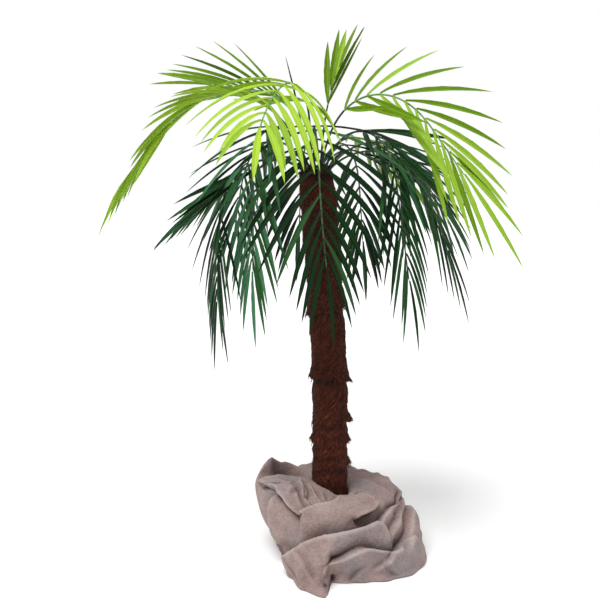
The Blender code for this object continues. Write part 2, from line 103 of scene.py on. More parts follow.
def shade_of(red: int, green: int, blue: int) -> Colour:
    """A colour given in screen steps of 0 to 255, as the linear colour that a shader takes.

    Args:
        red: Red, as a screen shows it.
        green: Green, as a screen shows it.
        blue: Blue, as a screen shows it.

    Returns:
        The linear colour, opaque.
    """
    linear = []
    for step in (red, green, blue):
        share = step / 255
        linear.append(share / 12.92 if share <= 0.04045 else ((share + 0.055) / 1.055) ** 2.4)
    return (*linear, 1.0)


def round_the_axis(angle: float, radius: float, height: float = 0.0) -> Vector:
    """The point at an angle, a radius and a height round the Z axis."""
    return Vector((radius * math.cos(angle), radius * math.sin(angle), height))


def cloud_round(angle: float, size: float, rise: float) -> float:
    """A cloudy value from -1 to 1 round the Z axis, in more lumps as its size is greater."""
    return noise.noise(round_the_axis(angle, size, rise))


def along_curve(points: Sequence[tuple[float, float]], share: float) -> tuple[float, float]:
    """The point a share of the way along a smooth curve through some points."""
    place = share * (len(points) - 1)
    number = min(len(points) - 2, int(place))
    part = place - number
    around = [points[min(len(points) - 1, max(0, number + step))] for step in (-1, 0, 1, 2)]
    found = []
    for before, here, after, beyond in zip(*around):
        found.append(0.5 * (
            2 * here + (after - before) * part + (2 * before - 5 * here + 4 * after - beyond) * part**2
            + (3 * here - before - 3 * after + beyond) * part**3
        ))
    return found[0], found[1]


# ---------------------------------------------------------------- shader tools


class Value:
    """A number that varies over a surface. Python's operators on it add Math nodes."""

    def __init__(self, surface: "Surface", socket: bpy.types.NodeSocket) -> None:
        """Wraps a socket of the surface's node tree."""
        self.surface = surface
        self.socket = socket

    def sum_of(self, operation: str, *numbers: object) -> "Value":
        """Adds one Math node.

        Args:
            operation: The Math node's operation.
            *numbers: Its numbers in order, each a Value or a plain number.

        Returns:
            The node's result.
        """
        made = self.surface.node("ShaderNodeMath", {"operation": operation}, dict(enumerate(numbers)))
        return Value(self.surface, made.outputs[0])

    def __add__(self, other: object) -> "Value":
        """This plus another."""
        return self.sum_of("ADD", self, other)

    def __sub__(self, other: object) -> "Value":
        """This less another."""
        return self.sum_of("SUBTRACT", self, other)

    def __rsub__(self, other: object) -> "Value":
        """Another less this."""
        return self.sum_of("SUBTRACT", other, self)

    def __mul__(self, other: object) -> "Value":
        """This times another."""
        return self.sum_of("MULTIPLY", self, other)

    def __gt__(self, other: object) -> "Value":
        """1 where this is the greater, and 0 elsewhere."""
        return self.sum_of("GREATER_THAN", self, other)

    def __abs__(self) -> "Value":
        """This without its sign."""
        return self.sum_of("ABSOLUTE", self)

    __rmul__ = __mul__

    def sine(self) -> "Value":
        """The sine of this."""
        return self.sum_of("SINE", self)

    def between(self, low: float, high: float) -> "Value":
        """0 at low and below, 1 at high and above, and a straight rise between."""
        sources = {"Value": self, "From Min": low, "From Max": high}
        made = self.surface.node("ShaderNodeMapRange", {"clamp": True}, sources)
        return Value(self.surface, made.outputs[0])


class Tree:
    """A node tree, of a material or of the world."""

    def __init__(self, tree: bpy.types.NodeTree) -> None:
        """Wraps a node tree."""
        self.tree = tree

    def feed(self, socket: bpy.types.NodeSocket, source: object) -> None:
        """Links a socket to a Value or another socket, or sets it to a constant."""
        if isinstance(source, Value):
            source = source.socket
        if isinstance(source, bpy.types.NodeSocket):
            self.tree.links.new(source, socket)
        else:
            socket.default_value = source

    def node(self, kind: str, settings: dict | None = None, sources: dict | None = None) -> bpy.types.Node:
        """Adds one node.

        Args:
            kind: The node's type.
            settings: Its settings, which are set first.
            sources: The constants or links of its sockets, by the socket's name or number.

        Returns:
            The new node.
        """
        made = self.tree.nodes.new(kind)
        for key, setting in (settings or {}).items():
            setattr(made, key, setting)
        for key, source in (sources or {}).items():
            self.feed(made.inputs[key], source)
        return made


class Surface(Tree):
    """One material while it is made: its node tree and the shader at its end."""

    def __init__(self, name: str) -> None:
        """Starts an empty material with its Principled shader."""
        self.material = bpy.data.materials.new(name)
        self.material.use_nodes = True
        super().__init__(self.material.node_tree)
        self.shader = self.tree.nodes["Principled BSDF"]
        self._places: dict[str, bpy.types.NodeSocket] = {}

    def place(self, kind: str = "Object") -> bpy.types.NodeSocket:
        """Object coordinates, or with "UV" the piece's own map."""
        if kind not in self._places:
            self._places[kind] = self.node("ShaderNodeTexCoord").outputs[kind]
        return self._places[kind]

    def attribute(self, name: str) -> Value:
        """A number that the mesh keeps at its points."""
        return Value(self, self.node("ShaderNodeAttribute", {"attribute_name": name}).outputs["Fac"])

    def parts(self, vector: bpy.types.NodeSocket) -> list[Value]:
        """The three numbers of a vector."""
        return [Value(self, part) for part in self.node("ShaderNodeSeparateXYZ", None, {0: vector}).outputs]

    def stretched(self, vector: bpy.types.NodeSocket, scale: Scale) -> bpy.types.NodeSocket:
        """A vector with each of its numbers scaled."""
        made = self.node("ShaderNodeMapping", {"vector_type": "POINT"}, {"Vector": vector, "Scale": scale})
        return made.outputs[0]

    def twisted(self, turns: float, scale: Scale) -> bpy.types.NodeSocket:
        """Object coordinates wound about Z, so that what is upright in them climbs like a thread.

        Args:
            turns: Radians that the winding makes for each metre of height.
            scale: Scale of the wound coordinates.

        Returns:
            The wound and scaled coordinates.
        """
        sources = {"Vector": self.place(), "Angle": self.parts(self.place())[2] * turns}
        turn = self.node("ShaderNodeVectorRotate", {"rotation_type": "Z_AXIS"}, sources)
        return self.stretched(turn.outputs[0], scale)

    def noise(self, vector: bpy.types.NodeSocket, scale: float, detail: float, rough: float = 0.5) -> Value:
        """A cloudy pattern from 0 to 1."""
        sources = {"Vector": vector, "Scale": scale, "Detail": detail, "Roughness": rough}
        return Value(self, self.node("ShaderNodeTexNoise", None, sources).outputs[0])

    def mixed(self, share: object, first: object, second: object) -> bpy.types.NodeSocket:
        """A colour that goes from the first to the second as the share goes from 0 to 1."""
        settings = {"data_type": "RGBA", "blend_type": "MIX", "clamp_factor": True}
        return self.node("ShaderNodeMix", settings, {0: share, 6: first, 7: second}).outputs[2]

    def layered(self, colour: object, *layers: tuple[object, object]) -> object:
        """A colour with others laid over it one by one.

        Args:
            colour: The lowest colour.
            *layers: The share and the colour of each that lies over it.

        Returns:
            The colour that they give together.
        """
        for share, tint in layers:
            colour = self.mixed(share, colour, tint)
        return colour

    def raise_by(self, height: Value, strength: float, distance: float) -> None:
        """Feeds the shader's normal from a pattern of heights."""
        bump = self.node("ShaderNodeBump", None, {"Strength": strength, "Distance": distance, "Height": height})
        self.feed(self.shader.inputs["Normal"], bump.outputs[0])

    def set(self, **sources: object) -> None:
        """Sets the shader's own sockets. Words in a socket's name are joined by underscores here."""
        for key, source in sources.items():
            self.feed(self.shader.inputs[key.replace("_", " ")], source)


# ---------------------------------------------------------------- finishes


@dataclass(frozen=True)
class Finish:
    """What one material looks like."""

    name: str

    def material(self) -> bpy.types.Material:
        """Makes the material."""
        surface = Surface(self.name)
        self.paint(surface)
        return surface.material

    def paint(self, surface: Surface) -> None:
        """Fills in a surface."""
        raise NotImplementedError


@dataclass(frozen=True)
class LeafFinish(Finish):
    """Printed leaf cloth: a plain colour, fine veins along the blade and a paler midrib."""

    face: Colour
    back: Colour
    midrib: Colour
    roughness: float
    veins: float = 11.0
    glow: float = 0.10

    def paint(self, surface: Surface) -> None:
        """Fills in a surface."""
        across_both, along, _ = surface.parts(surface.place("UV"))
        under = across_both > 0.75 * UNDER_SIDE
        across = across_both - UNDER_SIDE * under
        from_midrib = abs(across - 0.5)
        mottle = surface.noise(surface.place(), 26.0, 3.0)
        # Rims and tip darken towards the back tone; the darker rims are partly painted shade.
        edge = from_midrib.between(0.40, 0.50) * 0.22 + along.between(0.86, 1.0) * 0.25
        colour = surface.layered(
            self.face,
            (0.30, surface.mixed(mottle.between(0.35, 0.70), self.face, self.back)),
            # The under side takes the darker back tone: partly the cloth's own second tone, partly painted
            # shade.
            (under * 0.75, self.back),
            ((1.0 - from_midrib * 11.0).between(0.0, 1.0) * 0.55, self.midrib),
            (edge, self.back),
        )
        surface.set(Base_Color=colour, Roughness=self.roughness, Specular_IOR_Level=0.12)
        surface.set(Subsurface_Weight=self.glow, Subsurface_Radius=(0.004, 0.006, 0.001))
        ridges = (across * (2 * math.pi * self.veins)).sine()
        surface.raise_by(ridges + surface.noise(surface.place(), 900.0, 1.0) * 0.6, 0.22, 0.0003)


@dataclass(frozen=True)
class StemFinish(Finish):
    """Moulded plastic of ribs and stalks, mottled and faintly grained. The core's wood has it too."""

    light: Colour
    dark: Colour
    roughness: float = 0.46

    def paint(self, surface: Surface) -> None:
        """Fills in a surface."""
        mottle = surface.noise(surface.place(), 60.0, 3.0)
        grain = surface.noise(surface.place(), 700.0, 2.0)
        surface.set(Base_Color=surface.mixed(mottle.between(0.35, 0.65), self.dark, self.light))
        surface.set(Roughness=grain * 0.16 + (self.roughness - 0.08), Specular_IOR_Level=0.45)
        surface.raise_by(grain + mottle, 0.25, 0.0006)


@dataclass(frozen=True)
class CoirFinish(Finish):
    """Matted coir: locks of fibre wound round the trunk, dark between and redder where they lie on top. The
    colour follows the locks' relief: the darkness between them is partly the fibre's own tone and partly
    painted shade, and the redder, lighter tops are partly its own tone and partly painted highlight.
    """

    deep: Colour
    middle: Colour
    lit: Colour
    climb: float  # radians that the locks wind for each metre, and which way
    lock: float = 235.0  # scale of the locks
    shaded: float = 0.85  # how dark the painted shade is up under the next sleeve's lip

    def paint(self, surface: Surface) -> None:
        """Fills in a surface."""
        locks = surface.noise(surface.twisted(self.climb, (1.0, 1.0, 0.06)), self.lock, 2.0, 0.6)
        wound = surface.noise(surface.twisted(0.8 * self.climb, (1.0, 1.0, 0.08)), 540.0, 3.0, 0.6)
        crossed = surface.noise(surface.twisted(-0.6 * self.climb, (1.0, 1.0, 0.09)), 430.0, 3.0, 0.6)
        matting = locks * 0.46 + wound * 0.30 + crossed * 0.24
        patches = surface.noise(surface.place(), 13.0, 2.0)
        # The colour follows the same relief as the bump: painted shade between the locks and painted highlight
        # on their tops, over the fibre's own browns.
        colour = surface.layered(
            self.deep,
            (matting.between(0.38, 0.56), self.middle),
            (matting.between(0.51, 0.60) * patches.between(0.30, 0.60), self.lit),
            (patches.between(0.58, 0.40) * 0.30, self.deep),
            # painted shade up under the lip of the sleeve above
            (surface.attribute("shade") * self.shaded, self.deep),
        )
        surface.set(Base_Color=colour, Roughness=0.88, Specular_IOR_Level=0.18)
        surface.raise_by(matting, 1.0, 0.0030)


@dataclass(frozen=True)
class StrandFinish(Finish):
    """Loose coir fibre, a little different from place to place."""

    deep: Colour
    lit: Colour

    def paint(self, surface: Surface) -> None:
        """Fills in a surface."""
        mottle = surface.noise(surface.place(), 130.0, 2.0)
        surface.set(Base_Color=surface.mixed(mottle.between(0.34, 0.66), self.deep, self.lit))
        surface.set(Roughness=mottle * 0.2 + 0.58, Specular_IOR_Level=0.3)
        surface.raise_by(surface.noise(surface.place(), 1500.0, 1.0), 0.3, 0.0003)


@dataclass(frozen=True)
class HessianFinish(Finish):
    """Plain-woven cloth with uneven threads and grey slubs, and painted highlight and painted shade on its
    folds. Its map gives the place on the flat cloth.
    """

    base: Colour
    pale: Colour
    slub: Colour
    faded: Colour = shade_of(140, 138, 141)
    # colour of the painted highlight on the folds' lips
    painted_light: Colour = shade_of(204, 188, 180)
    # colour of the painted shade in the folds' crevices and hollows
    painted_shade: Colour = shade_of(74, 58, 56)
    thread: float = 0.0021

    def paint(self, surface: Surface) -> None:
        """Fills in a surface."""
        flat = surface.place("UV")
        across, along, _ = surface.parts(flat)
        warp = (across * (math.pi / self.thread)).sine()
        weft = (along * (math.pi / self.thread)).sine()
        over = warp * weft > 0.0
        weave = abs(warp) * over + abs(weft) * (1.0 - over)
        long_slubs = surface.noise(surface.stretched(flat, (1.0, 0.14, 1.0)), 300.0, 2.0)
        slubs = long_slubs + surface.noise(surface.stretched(flat, (0.14, 1.0, 1.0)), 300.0, 2.0)
        cloud = surface.noise(surface.place(), 9.0, 4.0, 0.6)
        speck = surface.noise(surface.place(), 210.0, 3.0, 0.7)
        # Painted light of the folds, kept at the mesh's points: above 0 painted highlight on the lips, below 0
        # painted shade in the crevices and hollows.
        painted_shading = surface.attribute("painted_shading")
        faded = surface.noise(surface.place(), 5.5, 3.0, 0.65)
        colour = surface.layered(
            self.base,
            (cloud.between(0.34, 0.66), self.pale),
            (faded.between(0.50, 0.62) * 0.55, self.faded),
            (slubs.between(1.02, 1.30) * 0.26, self.pale),
            (slubs.between(0.96, 0.72) * 0.28, self.slub),
            (speck.between(0.52, 0.70) * 0.60, self.slub),
            (speck.between(0.46, 0.32) * 0.45, self.pale),
            ((1.0 - weave) * 0.22, self.slub),
            # painted highlight on the lips
            (painted_shading.between(0.10, 0.95) * 0.50, self.painted_light),
            # painted shade in the crevices and hollows
            (painted_shading.between(-0.06, -0.80) * 0.62, self.painted_shade),
        )
        surface.set(Base_Color=colour, Roughness=0.94, Specular_IOR_Level=0.15, Sheen_Weight=0.12)
        creases = surface.noise(surface.place(), 34.0, 3.0, 0.6)
        height = weave * 0.45 + slubs * 0.5 + speck * 1.3 + abs(creases - 0.5) * 12.0
        surface.raise_by(height, 0.7, 0.0013)


@dataclass(frozen=True)
class CementFinish(Finish):
    """Cast cement with pores and a faint cloud."""

    name: str = "cast_cement"
    light: Colour = (0.36, 0.35, 0.33, 1.0)
    dark: Colour = (0.22, 0.21, 0.20, 1.0)

    def paint(self, surface: Surface) -> None:
        """Fills in a surface."""
        cloud = surface.noise(surface.place(), 18.0, 5.0)
        grit = surface.noise(surface.place(), 420.0, 3.0)
        surface.set(Base_Color=surface.mixed(cloud.between(0.3, 0.7), self.dark, self.light), Roughness=0.88)
        surface.raise_by(grit + cloud, 0.5, 0.001)


@dataclass(frozen=True)
class PlainFinish(Finish):
    """The studio floor."""

    colour: Colour
    roughness: float = 0.9

    def paint(self, surface: Surface) -> None:
        """Fills in a surface."""
        surface.set(Base_Color=self.colour, Roughness=self.roughness, Specular_IOR_Level=0.2)


class Tone(Enum):
    """The tones of leaf cloth, each a plain colour that is dealt out by frond."""

    LIME = LeafFinish(
        "lime_leaf", shade_of(166, 203, 56), shade_of(151, 189, 44), shade_of(206, 228, 128), 0.5, glow=0.35)
    GRASS = LeafFinish(
        "grass_leaf", shade_of(147, 185, 52), shade_of(124, 163, 36), shade_of(190, 214, 108), 0.5, glow=0.35)
    OLIVE = LeafFinish(
        "olive_leaf", shade_of(104, 142, 20), shade_of(76, 108, 11), shade_of(142, 170, 56), 0.5, glow=0.3)
    DEEP = LeafFinish(
        "deep_leaf", shade_of(15, 46, 18), shade_of(5, 20, 8), shade_of(40, 80, 44), 0.46)
    FOREST = LeafFinish(
        "forest_leaf", shade_of(42, 86, 42), shade_of(18, 48, 21), shade_of(70, 118, 70), 0.48)
    # A lighter, bluer green: partly a tone of its own, partly painted satin sheen on the fronds that take it.
    BLUISH = LeafFinish(
        "bluish_leaf", shade_of(70, 122, 84), shade_of(32, 72, 44), shade_of(106, 158, 118), 0.46)

    @property
    def light(self) -> bool:
        """Whether light fronds have this tone."""
        return self in (Tone.LIME, Tone.GRASS, Tone.OLIVE)

    @property
    def neighbour(self) -> "Tone":
        """The tone that a frond's stray leaflets take."""
        return {
            Tone.LIME: Tone.GRASS, Tone.GRASS: Tone.OLIVE, Tone.OLIVE: Tone.GRASS,
            Tone.DEEP: Tone.FOREST, Tone.FOREST: Tone.DEEP, Tone.BLUISH: Tone.FOREST,
        }[self]


# ---------------------------------------------------------------- mesh tools


def linked(name: str, data: bpy.types.ID) -> bpy.types.Object:
    """A new object in the scene."""
    made = bpy.data.objects.new(name, data)
    bpy.context.scene.collection.objects.link(made)
    return made


def dressed(name: str, material: bpy.types.Material) -> None:
    """Gives a CAD node its finish."""
    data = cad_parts[name].data
    data.materials.clear()
    data.materials.append(material)


def turned_out(mesh: bmesh.types.BMesh) -> bmesh.types.BMesh:
    """The same closed mesh, with its faces outwards."""
    bmesh.ops.recalc_face_normals(mesh, faces=mesh.faces)
    if mesh.calc_volume(signed=True) < 0:
        bmesh.ops.reverse_faces(mesh, faces=mesh.faces)
    return mesh


def data_of(mesh: bmesh.types.BMesh, name: str) -> bpy.types.Mesh:
    """A bmesh's mesh data. The bmesh is used up."""
    data = bpy.data.meshes.new(name)
    mesh.to_mesh(data)
    mesh.free()
    return data


def search_tree(verts: Iterable[Vector], faces: Sequence[Sequence[int]]) -> BVHTree:
    """What finds out whether anything touches some faces."""
    return BVHTree.FromPolygons([tuple(vert) for vert in verts], faces)


def placed(mesh: bmesh.types.BMesh, name: str, material: bpy.types.Material, slot: str, *nodes: str,
           sharp: float | None = None) -> bpy.types.Object:
    """Makes a bmesh a named piece of the object.

    Args:
        mesh: The mesh, which is used up.
        name: The piece's name.
        material: Its material.
        slot: The record's slot that its finish belongs to. Not used.
        *nodes: The CAD nodes that it stands for.
        sharp: Edges that turn by more than this many degrees stay sharp, or None for flat faces.

    Returns:
        The piece, riding on the object's one body.
    """
    data = data_of(mesh, name)
    if sharp is not None:
        data.shade_smooth()
        data.set_sharp_from_angle(angle=math.radians(sharp))
    data.materials.append(material)
    piece = linked(name, data)
    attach(piece, BODY)
    if nodes:
        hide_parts(*nodes)
    LOG.info("%s: %d faces", name, len(data.polygons))
    return piece


def swept(rings: Sequence[Ring]) -> bmesh.types.BMesh:
    """A closed tube: a disc, extruded from ring to ring, with its foot filled in."""
    mesh = bmesh.new()
    bmesh.ops.create_circle(mesh, cap_ends=True, segments=len(rings[0]), radius=1.0)
    cap = mesh.faces[:][0]
    for loop, point in zip(cap.loops, rings[0]):
        loop.vert.co = point
    for ring in rings[1:]:
        cap = bmesh.ops.extrude_discrete_faces(mesh, faces=[cap])["faces"][0]
        for loop, point in zip(cap.loops, ring):
            loop.vert.co = point
    bmesh.ops.holes_fill(mesh, edges=mesh.edges, sides=len(rings[0]))
    return turned_out(mesh)


def gathered(meshes: Iterable[bmesh.types.BMesh]) -> bmesh.types.BMesh:
    """Several meshes in one. Each of them is used up."""
    whole = bmesh.new()
    for part in meshes:
        data = data_of(part, "part")
        whole.from_mesh(data)
        bpy.data.meshes.remove(data)
    return whole


def bent(frames: Sequence[tuple[Vector, Vector, Vector, Vector]]) -> Placer:
    """What bends a pattern along some rings.

    Args:
        frames: For each ring its centre, then how far a unit across, to either side, and up takes a point.

    Returns:
        What turns a point of the pattern into a place.
    """

    def place(across: float, up: float, number: int) -> Vector:
        """A point of the bent pattern."""
        centre, flat, lift, body = frames[number]
        return centre + across * flat + abs(across) * lift + up * body

    return place


@dataclass(frozen=True)
class Pattern:
    """A small pointed tube that many like pieces are bent from: sides round it, rings along it."""

    sides: int
    rings: int

    def mesh(self) -> bpy.types.Mesh:
        """The tube itself: one unit across each way from its middle, and one unit long."""
        tube = bmesh.new()
        bmesh.ops.create_circle(tube, cap_ends=False, segments=self.sides, radius=1.0)
        edges, verts = tube.edges[:], tube.verts[:]
        for _ in range(self.rings):
            grown = bmesh.ops.extrude_edge_only(tube, edges=edges)["geom"]
            verts = [item for item in grown if isinstance(item, bmesh.types.BMVert)]
            ring = set(verts)
            grown_edges = [item for item in grown if isinstance(item, bmesh.types.BMEdge)]
            edges = [edge for edge in grown_edges if ring.issuperset(edge.verts)]
            bmesh.ops.translate(tube, verts=verts, vec=(0.0, 0.0, 1.0 / self.rings))
        bmesh.ops.pointmerge(tube, verts=verts, merge_co=(0.0, 0.0, 1.0))
        bmesh.ops.holes_fill(tube, edges=tube.edges, sides=self.sides)
        bmesh.ops.recalc_face_normals(tube, faces=tube.faces)
        self._map(tube)
        return data_of(tube, "pattern")

    @staticmethod
    def _map(tube: bmesh.types.BMesh) -> None:
        """Gives the tube its map: across it and along it, with the under side moved aside."""
        layer = tube.loops.layers.uv.new("map")
        for face in tube.faces:
            under = face.calc_center_median().y < 0
            for loop in face.loops:
                across, _, along = loop.vert.co
                loop[layer].uv = (0.5 + 0.5 * across + UNDER_SIDE * under, along)

    def many(self, placers: Sequence[Placer]) -> bmesh.types.BMesh:
        """One mesh of a bent copy for each placer.

        Args:
            placers: For each copy, what turns a point's two places across the tube and its ring into a place.

        Returns:
            All the copies in one mesh.
        """
        pattern = self.mesh()
        corners = [tuple(vert.co) for vert in pattern.vertices]
        whole = bmesh.new()
        for _ in placers:
            whole.from_mesh(pattern)
        bpy.data.meshes.remove(pattern)
        verts = iter(whole.verts[:])
        for place in placers:
            for across, up, along in corners:
                next(verts).co = place(across, up, round(along * self.rings))
        return whole


# ---------------------------------------------------------------- fronds

HEAD_LEAN = 0.052  # how far the head stands over towards -X
HEAD_TOP = 1.304  # height where the trunk leans that far
LEAN_FROM = 0.50  # height where the trunk begins to lean
GAP = 0.0005  # between the head and the foot of a rib
STALK = 0.22  # bare length of a rib, from the head to its first leaflets
LEAFLET_PITCH = 0.041  # from one pair of leaflets to the next
LEAFLET_ROOT = 0.009  # width of a leaflet at its rib
LEAFLET_SHORT = 0.235  # length of the shortest leaflets
LEAFLET_EXTRA = 0.060  # how much longer the longest are
LEAFLET_WIDTH_LIGHT = 0.0150  # widths of the solids' blades
LEAFLET_WIDTH_DARK = 0.0130
LEAFLET_THICKNESS = 0.0030
LEAFLET_STEPS = 12
LEAFLET_STATIONS = (0.34, 0.72)  # where the solids' blades have their sections, as shares of the length
LEAFLET_WIDTHS = (1.0, 0.66)  # how wide they are there
FOLDED_ANGLE = 9  # degrees between a closed frond's leaflets and its rib
UNEVEN_ANGLE = 3.0  # degrees that a leaflet strays at most
UNEVEN_SIZE = 0.05  # share of its length that it is longer or shorter at most
FORWARD_CURL = 0.50  # how far leaflets curl forward along the rib
SAG_WEIGHT = 1.6  # how far they sag, for a frond's sag of 1
RIB_WIDTH_FOOT = 0.0085
RIB_WIDTH_TIP = 0.0042
RIB_STEPS = 60
RIB_SIDES = 8
RIB_FLATNESS = 0.86  # depth of a rib, as a share of its width
PROBE_STEPS = 24  # sections of a rib's search tree
CLEARANCE = 0.0006  # least gap that leaflets keep

INNER_RING = 0.014  # distances of the sockets from the head's middle
MIDDLE_RING = 0.026
OUTER_RING = 0.037


@dataclass(frozen=True)
class Frond:
    """One frond. Angles are in degrees; azimuth 0 is +X and 90 is +Y."""

    name: str
    tone: Tone
    ring: float  # distance of its socket from the head's centre
    azimuth: float
    rise: float  # slope of the rib at the head
    fall: float  # slope of the rib at its tip
    bend: tuple[float, float]  # stretch of the rib, as shares, where it goes from rise to fall
    turn: float  # how far it swings sideways by its tip
    roll: float  # how far its left side is lifted
    length: float
    close: float = 0.0  # 0 is an open frond, 1 has its leaflets folded along the rib
    sag: float = 0.32
    spread: tuple[float, float] = (56.0, 18.0)  # angle of the leaflets to the rib, first and last
    socket: float | None = None  # azimuth of its socket in the head, where that isn't the frond's own
    reach: tuple[float, float] = (1.0, 1.0)  # how long its first and last leaflets are, beside those of most
    lifts: tuple[float, float] = (0.0, 0.0)  # how far its left and its right leaflets are raised

    @property
    def light(self) -> bool:
        """Whether this is one of the light inner fronds."""
        return self.tone.light

    def stray(self, place: float, salt: int) -> float:
        """A steady value from -1 to 1 that differs from leaflet to leaflet, by the solids' own weights."""
        return math.sin(12.9898 * place + 78.233 * salt + 0.37 * self.azimuth + 4.1 * self.length)


FRONDS = (
    Frond("dark_spear", Tone.DEEP, 0.0, 176, 69, 76, (0.0, 1.0), 0, 0, 0.15, 0.0, 0.0),
    Frond("light_front_left", Tone.LIME, INNER_RING, 224, 85, -32, (0.22, 0.70), 40, -6, 0.62, 0.0, 0.60,
          (88, 34), reach=(1.24, 0.82), lifts=(-24, 10)),
    Frond("light_left", Tone.LIME, INNER_RING, 172, 66, -52, (0.02, 0.84), 8, 0, 0.83, 0.50, 0.48,
          socket=176, reach=(0.95, 0.9)),
    Frond("light_back_left", Tone.GRASS, INNER_RING, 140, 76, 6, (0.05, 0.80), 20, 30, 0.54, 0.10, 0.10,
          (46, 20), socket=130),
    Frond("light_back", Tone.OLIVE, INNER_RING, 36, 84, 62, (0.25, 1.05), 0, 0, 0.34, 0.66, 0.04, socket=8,
          reach=(0.8, 0.7)),
    Frond("light_back_right", Tone.GRASS, INNER_RING, 48, 58, -40, (-0.10, 0.85), -10, 10, 0.50, 0.0, 0.30,
          socket=64),
    Frond("light_right", Tone.GRASS, INNER_RING, 332, 73, -54, (0.08, 0.80), 20, 45, 0.71, 0.0, 0.13,
          socket=315, reach=(0.84, 1.44), lifts=(-6, 0)),
    Frond("dark_front", Tone.DEEP, OUTER_RING, 264, 70, -80, (0.03, 0.62), 46, 0, 0.68, 0.0, 0.30, (76, 18),
          reach=(1.25, 1.0)),
    Frond("dark_front_left", Tone.BLUISH, OUTER_RING, 226, 65, -90, (0.06, 0.60), -2, 0, 0.70),
    Frond("dark_left", Tone.DEEP, OUTER_RING, 199, 57, -88, (-0.20, 0.70), 6, 0, 0.66),
    Frond("dark_far_left", Tone.DEEP, MIDDLE_RING, 206, 68, -27, (-0.10, 0.50), -12, 0, 0.33, 0.62, 0.12,
          reach=(1.0, 0.9)),
    Frond("dark_left_back", Tone.BLUISH, OUTER_RING, 166, 56, -40, (-0.20, 0.62), 0, 0, 0.45, 0.66, 0.12,
          reach=(1.0, 0.9)),
    Frond("dark_back_left", Tone.FOREST, OUTER_RING, 136, 62, -76, (-0.10, 0.78), 0, 0, 0.60),
    Frond("dark_back", Tone.DEEP, OUTER_RING, 98, 60, -72, (-0.10, 0.75), 0, 0, 0.56),
    Frond("dark_back_right", Tone.FOREST, OUTER_RING, 62, 60, -80, (-0.10, 0.75), 0, 0, 0.62),
    Frond("dark_right_back", Tone.BLUISH, OUTER_RING, 22, 54, -56, (-0.10, 0.80), 0, 0, 0.58),
    Frond("dark_upper_right", Tone.FOREST, MIDDLE_RING, 40, 62, -20, (-0.10, 0.50), 0, 0, 0.46, 0.3, 0.10,
          reach=(0.8, 0.8), lifts=(24, 0)),
    Frond("dark_right", Tone.FOREST, OUTER_RING, 345, 56, -66, (-0.15, 0.75), -10, 0, 0.58),
    Frond("dark_front_right", Tone.FOREST, OUTER_RING, 321, 72, -80, (-0.02, 0.60), 4, 0, 0.72, 0.0, 0.32,
          (56, 26)),
    Frond("dark_near_right", Tone.BLUISH, MIDDLE_RING, 334, 66, -84, (0.02, 0.95), -8, 0, 0.46, 0.84, 0.10,
          socket=342),
)


class Rib:
    """A frond's rib: its line, and the directions along, across and above it."""

    def __init__(self, frond: Frond, head: Vector) -> None:
        """Follows the rib from its socket in the head.

        Args:
            frond: The frond.
            head: Centre of the head's top.
        """
        self.frond = frond
        azimuth = math.radians(frond.azimuth if frond.socket is None else frond.socket)
        self.points = [head + GAP * Vector((0, 0, 1)) + round_the_axis(azimuth, frond.ring)]
        step = frond.length / RIB_STEPS
        for number in range(RIB_STEPS):
            self.points.append(self.points[-1] + step * self.direction((number + 0.5) / RIB_STEPS))

    @property
    def pairs(self) -> int:
        """How many pairs of leaflets grow along it."""
        return round((self.frond.length - STALK) / LEAFLET_PITCH)

    def heading(self, share: float) -> float:
        """Azimuth of the rib at a share of its length, in radians."""
        return math.radians(self.frond.azimuth + self.frond.turn * share**1.5)

    def direction(self, share: float) -> Vector:
        """Direction of the rib at a share of its length."""
        start, end = self.frond.bend
        fallen = smoothstep((share - start) / (end - start))
        slope = math.radians(blended(self.frond.rise, self.frond.fall, fallen))
        return round_the_axis(self.heading(share), math.cos(slope), math.sin(slope))

    def at(self, distance: float) -> tuple[Vector, Vector, Vector, Vector]:
        """Point, along, across and above at a distance from the head."""
        share = min(1.0, max(0.0, distance / self.frond.length))
        place = share * RIB_STEPS
        below = min(RIB_STEPS - 1, int(place))
        point = self.points[below].lerp(self.points[below + 1], place - below)
        along = self.direction(share)
        heading = self.heading(share)
        across = Vector((-math.sin(heading), math.cos(heading), 0.0))
        above = along.cross(across)
        roll = Matrix.Rotation(math.radians(self.frond.roll) * smoothstep(distance / STALK), 3, along)
        return point, along, roll @ across, roll @ above

    def half_width(self, distance: float) -> float:
        """Half the rib's width at a distance from the head."""
        return 0.5 * blended(RIB_WIDTH_FOOT, RIB_WIDTH_TIP, distance / self.frond.length)

    def ring(self, distance: float, size: float = 1.0) -> Ring:
        """Points round the rib at a distance from the head.

        Args:
            distance: Distance from the head.
            size: The ring's size as a share of the rib's width there.

        Returns:
            The points, in order round the rib.
        """
        point, _, across, above = self.at(distance)
        half = size * self.half_width(distance)
        turns = [math.tau * (side + 0.5) / RIB_SIDES for side in range(RIB_SIDES)]
        ways = [math.cos(turn) * across + RIB_FLATNESS * math.sin(turn) * above for turn in turns]
        return [point + half * way for way in ways]

    def probe(self) -> BVHTree:
        """A search tree of the whole rib, a little fat, for testing what would touch it."""
        verts, faces = [], []
        for number in range(PROBE_STEPS + 1):
            distance = self.frond.length * number / PROBE_STEPS
            point, _, across, above = self.at(distance)
            half = self.half_width(distance) + CLEARANCE
            verts += [point + half * (a * across + b * above) for a, b in ((1, -1), (-1, -1), (-1, 1), (1, 1))]
            if number:
                base = 4 * (number - 1)
                for corner in range(4):
                    after = (corner + 1) % 4
                    faces.append((base + corner, base + after, base + 4 + after, base + 4 + corner))
        return search_tree(verts, faces)


